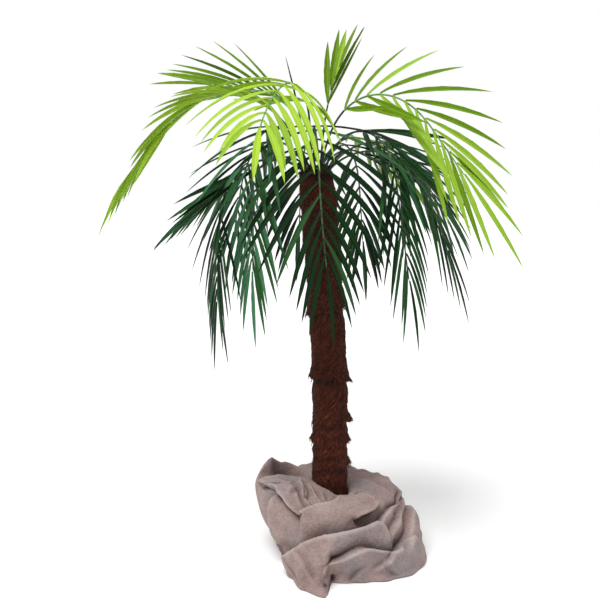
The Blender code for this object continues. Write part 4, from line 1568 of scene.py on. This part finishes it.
@dataclass(frozen=True)
class Fold:
    """A lap in the cloth: a crevice, and the rounded lip beside it that leans over it.

    The path is the crevice, in azimuth, in degrees, and share of the way out from the trunk to the
    hem. The lip is on its left, which is the outer side of a path that goes round anticlockwise.
    """

    path: tuple[tuple[float, float], ...]
    height: float  # how far the lip swells out
    depth: float  # how far the crevice is pressed in
    lap: float  # how far the lip leans over the crevice
    spread: float  # how far the lip's swell reaches
    edge: float = 0.011  # from the crevice to the top of the lip
    under: float = 0.022  # how far the cloth on the right sinks towards the crevice
    taper: float = 0.16  # share of the path over which it grows at each end

    PATH_STEPS = 5  # steps of the path between two of its points
    FAR = 9.0  # beyond any distance on the cloth
    FULL_HIGHLIGHT_HEIGHT = 0.012  # height of a lip that gets the full painted highlight
    FULL_SHADE_DEPTH = 0.020  # depth of a crevice that gets the full painted shade

    def _beside(self, places: Places) -> list[np.ndarray]:
        """Where each place is from the crevice.

        Args:
            places: The places.

        Returns:
            Its distance to the left of the crevice, how far along the crevice it is as a share, and
            the unit direction to the left, round the foot and outwards.
        """
        steps = self.PATH_STEPS * (len(self.path) - 1)
        points = [along_curve(self.path, share) for share in shares(steps)]
        found = [np.full(places.share.shape, self.FAR)] + [np.zeros(places.share.shape) for _ in range(4)]
        for number, (start, end) in enumerate(zip(points, points[1:])):
            span_round = np.radians(end[0] - start[0]) * places.radius
            span_out = (end[1] - start[1]) * WAY_OUT
            round_way = np.radians(turned(places.azimuth, start[0])) * places.radius
            out_way = (places.share - start[1]) * WAY_OUT
            length = np.hypot(span_round, span_out)
            part = np.clip((round_way * span_round + out_way * span_out) / length**2, 0, 1)
            away = np.hypot(round_way - part * span_round, out_way - part * span_out)
            left_round, left_out = -span_out / length, span_round / length
            side = np.where(round_way * left_round + out_way * left_out > 0, 1.0, -1.0)
            closer = away < found[0]
            for kept, seen in zip(found, (away, side, (number + part) / steps, left_round, left_out)):
                kept[closer] = seen[closer]
        return [found[0] * found[1], *found[2:]]

    def moves(self, places: Places) -> list[np.ndarray]:
        """How far the fold moves each place: out along the normal, round the foot, and outwards.

        Args:
            places: The places.

        Returns:
            The three moves, and the place's painted light, from -1 for painted shade down in a crevice to 1 for
            painted highlight on a lip.
        """
        away, part, left_round, left_out = self._beside(places)
        lip = np.maximum(away, 0.0)
        swell = eased(lip / self.edge) * (1.0 - eased((lip - self.edge) / (self.spread - self.edge)))
        lean = eased(lip / self.edge) * (1.0 - eased((lip - self.edge) / (0.6 * self.spread)))
        sink = np.exp(-lip / (0.35 * self.edge)) * np.exp(np.minimum(away, 0.0) / self.under)
        size = eased(part / self.taper) * eased((1.0 - part) / self.taper)
        lean = -size * lean * self.lap
        # painted highlight along the top of the lip
        on_lip = np.exp(-(((away - self.edge) / (0.55 * self.edge)) ** 2))
        # painted shade down in the crevice
        in_crevice = np.exp(-lip / (0.45 * self.edge)) * np.exp(np.minimum(away, 0.0) / (0.35 * self.under))
        painted_light = on_lip * min(1.0, self.height / self.FULL_HIGHLIGHT_HEIGHT)
        hollow_shade = in_crevice * min(1.0, self.depth / self.FULL_SHADE_DEPTH)
        out = size * (self.height * swell - self.depth * sink)
        return [out, lean * left_round, lean * left_out, size * (painted_light - hollow_shade)]


@dataclass(frozen=True)
class Dent:
    """A soft hollow, or a swelling where its depth is negative."""

    azimuth: float
    share: float
    depth: float
    wide: float  # its reach round the foot, in degrees
    tall: float  # its reach from trunk to hem, as a share

    def sunk(self, places: Places) -> np.ndarray:
        """How far each place is pressed in."""
        around = turned(places.azimuth, self.azimuth) / self.wide
        outward = (places.share - self.share) / self.tall
        return self.depth * np.exp(-(around**2 + outward**2))


FOLDS = (
    # the three big rolls at the front, from the top one down
    Fold(((235, 0.61), (238, 0.53), (246, 0.48), (257, 0.44), (270, 0.40), (280, 0.345), (290, 0.28),
          (298, 0.22)), 0.015, 0.026, 0.013, 0.080, 0.010, 0.026, 0.12),
    Fold(((218, 0.84), (230, 0.78), (240, 0.71), (249, 0.655), (262, 0.62), (280, 0.60), (300, 0.59),
          (316, 0.585), (321, 0.63), (321, 0.69), (322, 0.76)),
         0.024, 0.034, 0.024, 0.100, 0.011, 0.036, 0.09),
    Fold(((269, 0.87), (265, 0.81), (267, 0.77), (275, 0.74), (286, 0.70), (297, 0.69), (308, 0.72),
          (318, 0.75), (328, 0.72), (338, 0.70)), 0.020, 0.034, 0.020, 0.070, 0.009, 0.030, 0.09),
    # the layer at the upper left that lies over them, and the hood at its far end
    Fold(((244, 0.56), (237, 0.54), (227, 0.52), (213, 0.48), (201, 0.43), (193, 0.39), (184, 0.42),
          (176, 0.44)), 0.013, 0.028, 0.018, 0.055, 0.009, 0.034, 0.12),
    Fold(((329, 0.455), (325, 0.48), (319, 0.495), (310, 0.50), (300, 0.51), (295, 0.53)),
         0.016, 0.030, 0.016, 0.034, 0.009, 0.024, 0.12),
    Fold(((304, 0.16), (320, 0.24), (329, 0.36), (332, 0.47)), 0.012, 0.018, 0.008, 0.040, 0.010, 0.018),
    # the rim before the pocket at the upper left, and the left flank
    Fold(((187, 0.42), (186, 0.35), (182, 0.275), (172, 0.225), (156, 0.195), (140, 0.18)),
         0.012, 0.026, 0.010, 0.040, 0.009, 0.040, 0.14),
    Fold(((214, 0.78), (207, 0.68), (204, 0.59), (202, 0.52), (199, 0.44)),
         0.014, 0.024, 0.012, 0.070, 0.010, 0.022),
    # crumples before the trunk
    Fold(((186, 0.185), (206, 0.22), (222, 0.33), (232, 0.42)), 0.008, 0.016, 0.006, 0.026, 0.007, 0.012),
    Fold(((214, 0.25), (227, 0.32), (233, 0.40), (247, 0.455)), 0.006, 0.014, 0.004, 0.022, 0.007, 0.012),
    Fold(((208, 0.33), (222, 0.40), (233, 0.455), (243, 0.49)), 0.007, 0.014, 0.005, 0.024, 0.007, 0.012),
    Fold(((234, 0.22), (252, 0.26), (261, 0.33), (270, 0.355), (281, 0.31), (292, 0.25)),
         0.006, 0.014, 0.005, 0.024, 0.008, 0.014),
    Fold(((224, 0.20), (240, 0.30), (252, 0.36), (262, 0.38)), 0.006, 0.012, 0.004, 0.022, 0.007, 0.012),
    Fold(((190, 0.27), (202, 0.30), (212, 0.36), (220, 0.44)), 0.006, 0.012, 0.004, 0.028, 0.008, 0.014),
    Fold(((346, 0.18), (332, 0.20), (318, 0.17), (306, 0.14)), 0.010, 0.016, 0.006, 0.022, 0.008, 0.012),
    Fold(((336, 0.33), (326, 0.28), (318, 0.26), (308, 0.27)), 0.006, 0.012, 0.004, 0.020, 0.008, 0.012),
    # the band that comes round from behind, and the pleats that fan out over the right flank
    Fold(((396, 0.20), (382, 0.23), (366, 0.30), (358, 0.38), (357, 0.49)),
         0.008, 0.013, 0.005, 0.045, 0.009, 0.018),
    Fold(((320, 0.73), (320, 0.65), (323, 0.59), (334, 0.555), (345, 0.545), (361, 0.55), (372, 0.50)),
         0.014, 0.022, 0.008, 0.030, 0.009, 0.016, 0.10),
    Fold(((322, 0.75), (326, 0.665), (334, 0.615), (343, 0.595), (357, 0.58), (374, 0.57)),
         0.014, 0.022, 0.008, 0.030, 0.009, 0.014, 0.10),
    Fold(((325, 0.78), (334, 0.70), (340, 0.655), (348, 0.63), (357, 0.615), (376, 0.62)),
         0.017, 0.028, 0.010, 0.070, 0.010, 0.014, 0.10),
    Fold(((333, 0.69), (337, 0.76), (337, 0.84), (341, 0.90)), 0.011, 0.020, 0.008, 0.040, 0.009, 0.018),
    Fold(((352, 0.70), (350, 0.78), (352, 0.86)), 0.007, 0.012, 0.004, 0.040, 0.010, 0.020, 0.25),
    # slack along the hem
    Fold(((284, 0.95), (289, 0.86), (297, 0.77)), 0.005, 0.010, 0.003, 0.034, 0.009, 0.024, 0.30),
    Fold(((300, 0.82), (314, 0.77), (324, 0.735)), 0.007, 0.014, 0.004, 0.030, 0.008, 0.018, 0.25),
    Fold(((318, 0.92), (312, 0.84), (306, 0.80)), 0.004, 0.009, 0.003, 0.034, 0.010, 0.024, 0.30),
    Fold(((240, 0.70), (252, 0.76), (260, 0.84)), 0.004, 0.008, 0.002, 0.040, 0.012, 0.030, 0.30),
    Fold(((228, 0.80), (238, 0.86), (250, 0.95)), 0.004, 0.008, 0.003, 0.040, 0.012, 0.026, 0.30),
    # the back
    Fold(((394, 0.42), (404, 0.52), (410, 0.72), (414, 0.94)), 0.014, 0.022, 0.012, 0.060),
    Fold(((70, 0.38), (84, 0.50), (92, 0.70), (100, 0.95)), 0.016, 0.026, 0.016, 0.070),
    Fold(((140, 0.94), (132, 0.74), (112, 0.52), (100, 0.36)), 0.016, 0.026, 0.014, 0.070),
    Fold(((176, 0.90), (160, 0.80), (136, 0.72), (110, 0.76), (80, 0.86)), 0.016, 0.026, 0.014, 0.060),
    Fold(((30, 0.86), (52, 0.78), (76, 0.80), (96, 0.90)), 0.014, 0.024, 0.012, 0.060),
    Fold(((52, 0.40), (78, 0.46), (104, 0.50), (128, 0.48)), 0.010, 0.018, 0.008, 0.050),
    Fold(((150, 0.46), (148, 0.60), (152, 0.74)), 0.010, 0.018, 0.008, 0.050),
)

DENTS = (
    Dent(160, 0.245, 0.052, 17, 0.070),
    Dent(165, 0.335, -0.014, 5, 0.026),
    Dent(216, 0.26, -0.010, 14, 0.09),
    Dent(60, 0.33, -0.007, 5, 0.04),
    Dent(46, 0.35, -0.007, 5, 0.04),
    Dent(33, 0.36, -0.007, 5, 0.04),
    Dent(21, 0.40, -0.007, 5, 0.04),
    Dent(303, 0.545, 0.010, 12, 0.03),
    Dent(269.5, 0.90, 0.026, 3.2, 0.045),
)


@dataclass
class BaseCloth:
    """The sheet gathered round the foot, sculpted over its solid as one cloth."""

    hole: float = 0.0655  # radius of its hole, round the trunk
    spokes: int = 336  # points round it
    rows: int = 124  # steps from the trunk to the hem
    hem: float = 0.018  # sets how far it turns out along the floor
    thickness: float = 0.0012
    crumple: float = 0.0016  # height of its small crumples
    crowding: float = 10.0  # degrees that its spokes would be crowded towards the back, at a strength of 1
    crowding_strength: float = 1.6
    smooth_to: float = 0.10  # share of the way out up to which it has no folds
    soft_zone: float = 0.12  # share of the way out over which they grow from there
    flat: tuple[float, float] = (0.90, 0.90)
    floor_gap: float = 0.0006
    keep_out: float = 0.1245  # radius of the foot that the cloth stays clear of
    keep_out_height: float = 0.172
    trunk_play: float = 0.004  # how far inside its hole it may reach above that
    hollow_shade: float = 0.060  # depth of a hollow that is painted as dark as a crevice, as painted shade

    CRUMPLES = ((16.0, 1.0), (37.0, 0.5))  # scale and weight of each size of crumple

    def build(self) -> None:
        tones = shade_of(146, 122, 118), shade_of(180, 158, 153), shade_of(100, 86, 86)
        finish = HessianFinish("hessian", *tones)
        piece = placed(self.mesh(), "gathered_cloth", finish.material(), "cloth", "base_cloth")
        for face in piece.data.polygons:
            face.use_smooth = True
        wall = piece.modifiers.new("wall", "SOLIDIFY")
        wall.thickness = self.thickness
        wall.offset = 0.0

    @staticmethod
    def _hang(azimuth: float) -> list[float]:
        """The cloth's sizes at any azimuth, eased between the two nearest in the table."""
        for here, after in zip(HANGS, (*HANGS[1:], HANGS[0])):
            width = (after.azimuth - here.azimuth) % 360
            away = (azimuth - here.azimuth) % 360
            if away < width:
                share = smoothstep(away / width)
                return [blended(a, b, share) for a, b in zip(here.sizes(), after.sizes())]
        raise ValueError(f"no hang at {azimuth}")

    def _section(self, azimuth: float) -> list[tuple[float, float]]:
        """The radii and heights that the cloth runs through at one azimuth, from the trunk to the hem."""
        low, mid, high, crest_radius, crest, collar = self._hang(azimuth)
        dip = collar + 0.25 * (crest - collar)
        return [
            (self.hole, collar - 0.045), (self.hole + 0.003, collar - 0.006),
            (0.5 * (self.hole + crest_radius), dip), (crest_radius, crest),
            (0.5 * (crest_radius + high), 0.95 * crest), (high, 0.80 * crest), (mid, 0.115),
            (0.35 * mid + 0.65 * low, 0.060), (low, 0.016), (low + 0.4 * self.hem, 0.003),
        ]

    def _points(self) -> tuple[np.ndarray, np.ndarray]:
        """Every point of the folded cloth, by spoke and by row, and its painted light there: painted highlight
        on lips, painted shade in crevices and hollows.
        """
        turn = np.arange(self.spokes) / self.spokes
        azimuth = 360.0 * turn - self.crowding * np.sin(math.tau * (turn - 0.25)) * self.crowding_strength
        azimuth = azimuth[:, None] % 360.0
        share = np.linspace(0.0, 1.0, self.rows + 1)[None, :]
        flat = np.array([[along_curve(section, part) for part in share[0]]
                         for section in map(self._section, azimuth[:, 0])])
        azimuth = azimuth + 0.0 * share
        places = Places(azimuth, share + 0.0 * azimuth, flat[..., 0])
        angle = np.radians(azimuth)
        outwards = np.stack([np.cos(angle), np.sin(angle), 0.0 * angle], -1)
        round_way = np.stack([-np.sin(angle), np.cos(angle), 0.0 * angle], -1)
        upwards = np.array([0.0, 0.0, 1.0])
        down = np.gradient(flat, axis=1)
        down /= np.linalg.norm(down, axis=-1, keepdims=True)
        along = outwards * down[..., :1] + upwards * down[..., 1:]
        normal = upwards * down[..., :1] - outwards * down[..., 1:]
        points = outwards * flat[..., :1] + upwards * flat[..., 1:]
        soft = eased((places.share - self.smooth_to) / self.soft_zone)
        painted_shading = 0.0 * places.share
        for fold in FOLDS:
            out, sideways, onwards, painted_light = fold.moves(places)
            # each fold's painted highlight on its lip and painted shade in its crevice
            painted_shading += soft * painted_light
            points += (soft * out)[..., None] * normal + (soft * sideways)[..., None] * round_way
            points += (soft * onwards)[..., None] * along
        for dent in DENTS:
            sunk = dent.sunk(places)
            # painted shade in each hollow, darker as it is deeper
            painted_shading -= np.maximum(sunk, 0.0) / self.hollow_shade
            points -= sunk[..., None] * normal
        rough = np.array([[sum(weight * noise.noise(Vector(place) * scale) for scale, weight in self.CRUMPLES)
                           for place in spoke] for spoke in points])
        points += (soft * self.crumple * rough)[..., None] * normal
        return points, np.clip(painted_shading, -1.0, 1.0)

    def _kept_clear(self, point: Vector) -> Vector:
        """A point moved off the floor, the foot and the trunk where it would reach them."""
        point.z = max(point.z, self.floor_gap + 0.5 * self.thickness)
        least = self.keep_out if point.z < self.keep_out_height else self.hole - self.trunk_play
        reach = math.hypot(point.x, point.y)
        if reach < least:
            point.x *= least / reach
            point.y *= least / reach
        return point

    def mesh(self) -> bmesh.types.BMesh:
        """The cloth as one thin sheet: a grid bent into a ring round the trunk, with its flat place as map."""
        sheet = bmesh.new()
        bmesh.ops.create_grid(sheet, x_segments=self.spokes, y_segments=self.rows, size=0.5)
        layer = sheet.loops.layers.uv.new("map")
        # the painted highlight and painted shade of the folds, kept at each point
        painted_light = sheet.verts.layers.float.new("painted_shading")
        points, painted_shading = self._points()
        span = sum(self.flat) * 0.25  # half a side of the flat cloth
        spots: dict[int, tuple[int, int]] = {}
        for vert in sheet.verts:
            spoke = round((vert.co.x + 0.5) * self.spokes) % self.spokes
            spots[vert.index] = (spoke, round((vert.co.y + 0.5) * self.rows))
        for face in sheet.faces:
            for loop in face.loops:
                spoke, row = spots[loop.vert.index]
                flat = round_the_axis(math.tau * spoke / self.spokes, blended(self.hole, span, row / self.rows))
                loop[layer].uv = (flat.x, flat.y)
        for vert in sheet.verts:
            vert.co = self._kept_clear(Vector(points[spots[vert.index]]))
            vert[painted_light] = painted_shading[spots[vert.index]]
        bmesh.ops.remove_doubles(sheet, verts=sheet.verts, dist=1e-6)
        bmesh.ops.recalc_face_normals(sheet, faces=sheet.faces)
        upper = sum((face.normal.z for face in sheet.faces), 0.0)
        if upper < 0:
            bmesh.ops.reverse_faces(sheet, faces=sheet.faces)
        return sheet


# ---------------------------------------------------------------- studio


@dataclass
class Studio:
    """A plain pale floor, soft light and the camera."""

    eye: Vector = field(default_factory=lambda: Vector((-0.102, -2.9, 1.45)))
    pitch: float = 11.0  # degrees that it looks down
    lens: float = 53.8
    sensor: float = 36.0
    floor_size: float = 14.0
    ambient: float = 0.48  # strength of the world's light
    lamp_distance: float = 3.0

    SUNS = (  # name, azimuth and height it shines from, in degrees, its softness in degrees, its strength
        ("key", 236.0, 64.0, 34.0, 3.0),
        ("back", 42.0, 50.0, 50.0, 0.6),
    )

    def build(self) -> None:
        """Makes the floor, the lights, the world and the camera."""
        self._floor()
        self._lights()
        self._world()
        self._camera()
        scene = bpy.context.scene
        scene.view_settings.view_transform = "Standard"
        scene.view_settings.look = "None"

    def _floor(self) -> None:
        """Lays the floor, so wide and pale that it meets the backdrop without a line."""
        mesh = bmesh.new()
        bmesh.ops.create_circle(mesh, cap_ends=True, segments=96, radius=self.floor_size)
        data = data_of(mesh, "studio_floor")
        data.materials.append(PlainFinish("pale_floor", (0.93, 0.93, 0.93, 1.0)).material())
        linked("studio_floor", data)

    def _lights(self) -> None:
        """Sets the soft lights."""
        for name, azimuth, height, softness, strength in self.SUNS:
            lamp = bpy.data.lights.new(name, "SUN")
            lamp.energy = strength
            lamp.angle = math.radians(softness)
            light = linked(name, lamp)
            up = math.radians(height)
            away = round_the_axis(math.radians(azimuth), math.cos(up), math.sin(up))
            light.rotation_euler = away.to_track_quat("Z", "Y").to_euler()
            light.location = self.lamp_distance * away

    def _world(self) -> None:
        """Makes the world, which looks white but lights the tree less."""
        world = bpy.data.worlds.new("studio")
        world.use_nodes = True
        tree = Tree(world.node_tree)
        seen = world.node_tree.nodes["Background"]
        tree.feed(seen.inputs["Color"], (1.0, 1.0, 1.0, 1.0))
        lit = tree.node("ShaderNodeBackground", None, {"Strength": self.ambient})
        looking = tree.node("ShaderNodeLightPath").outputs["Is Camera Ray"]
        pick = tree.node("ShaderNodeMixShader", None, {0: looking, 1: lit.outputs[0], 2: seen.outputs[0]})
        tree.feed(world.node_tree.nodes["World Output"].inputs["Surface"], pick.outputs[0])
        bpy.context.scene.world = world

    def _camera(self) -> None:
        """Sets up the camera."""
        lens = bpy.data.cameras.new("camera")
        lens.lens = self.lens
        lens.sensor_width = self.sensor
        camera = linked("camera", lens)
        camera.location = self.eye
        camera.rotation_euler = (math.radians(90.0 - self.pitch), 0.0, 0.0)
        bpy.context.scene.camera = camera


def main() -> None:
    """Builds every piece in order."""
    logging.basicConfig(level=logging.INFO, format="%(name)s: %(message)s")
    for part in (Studio(), Foot(), Trunk(), BaseCloth(), Crown()):
        LOG.info("building %s", type(part).__name__)
        part.build()


if __name__ == "__main__":
    main()
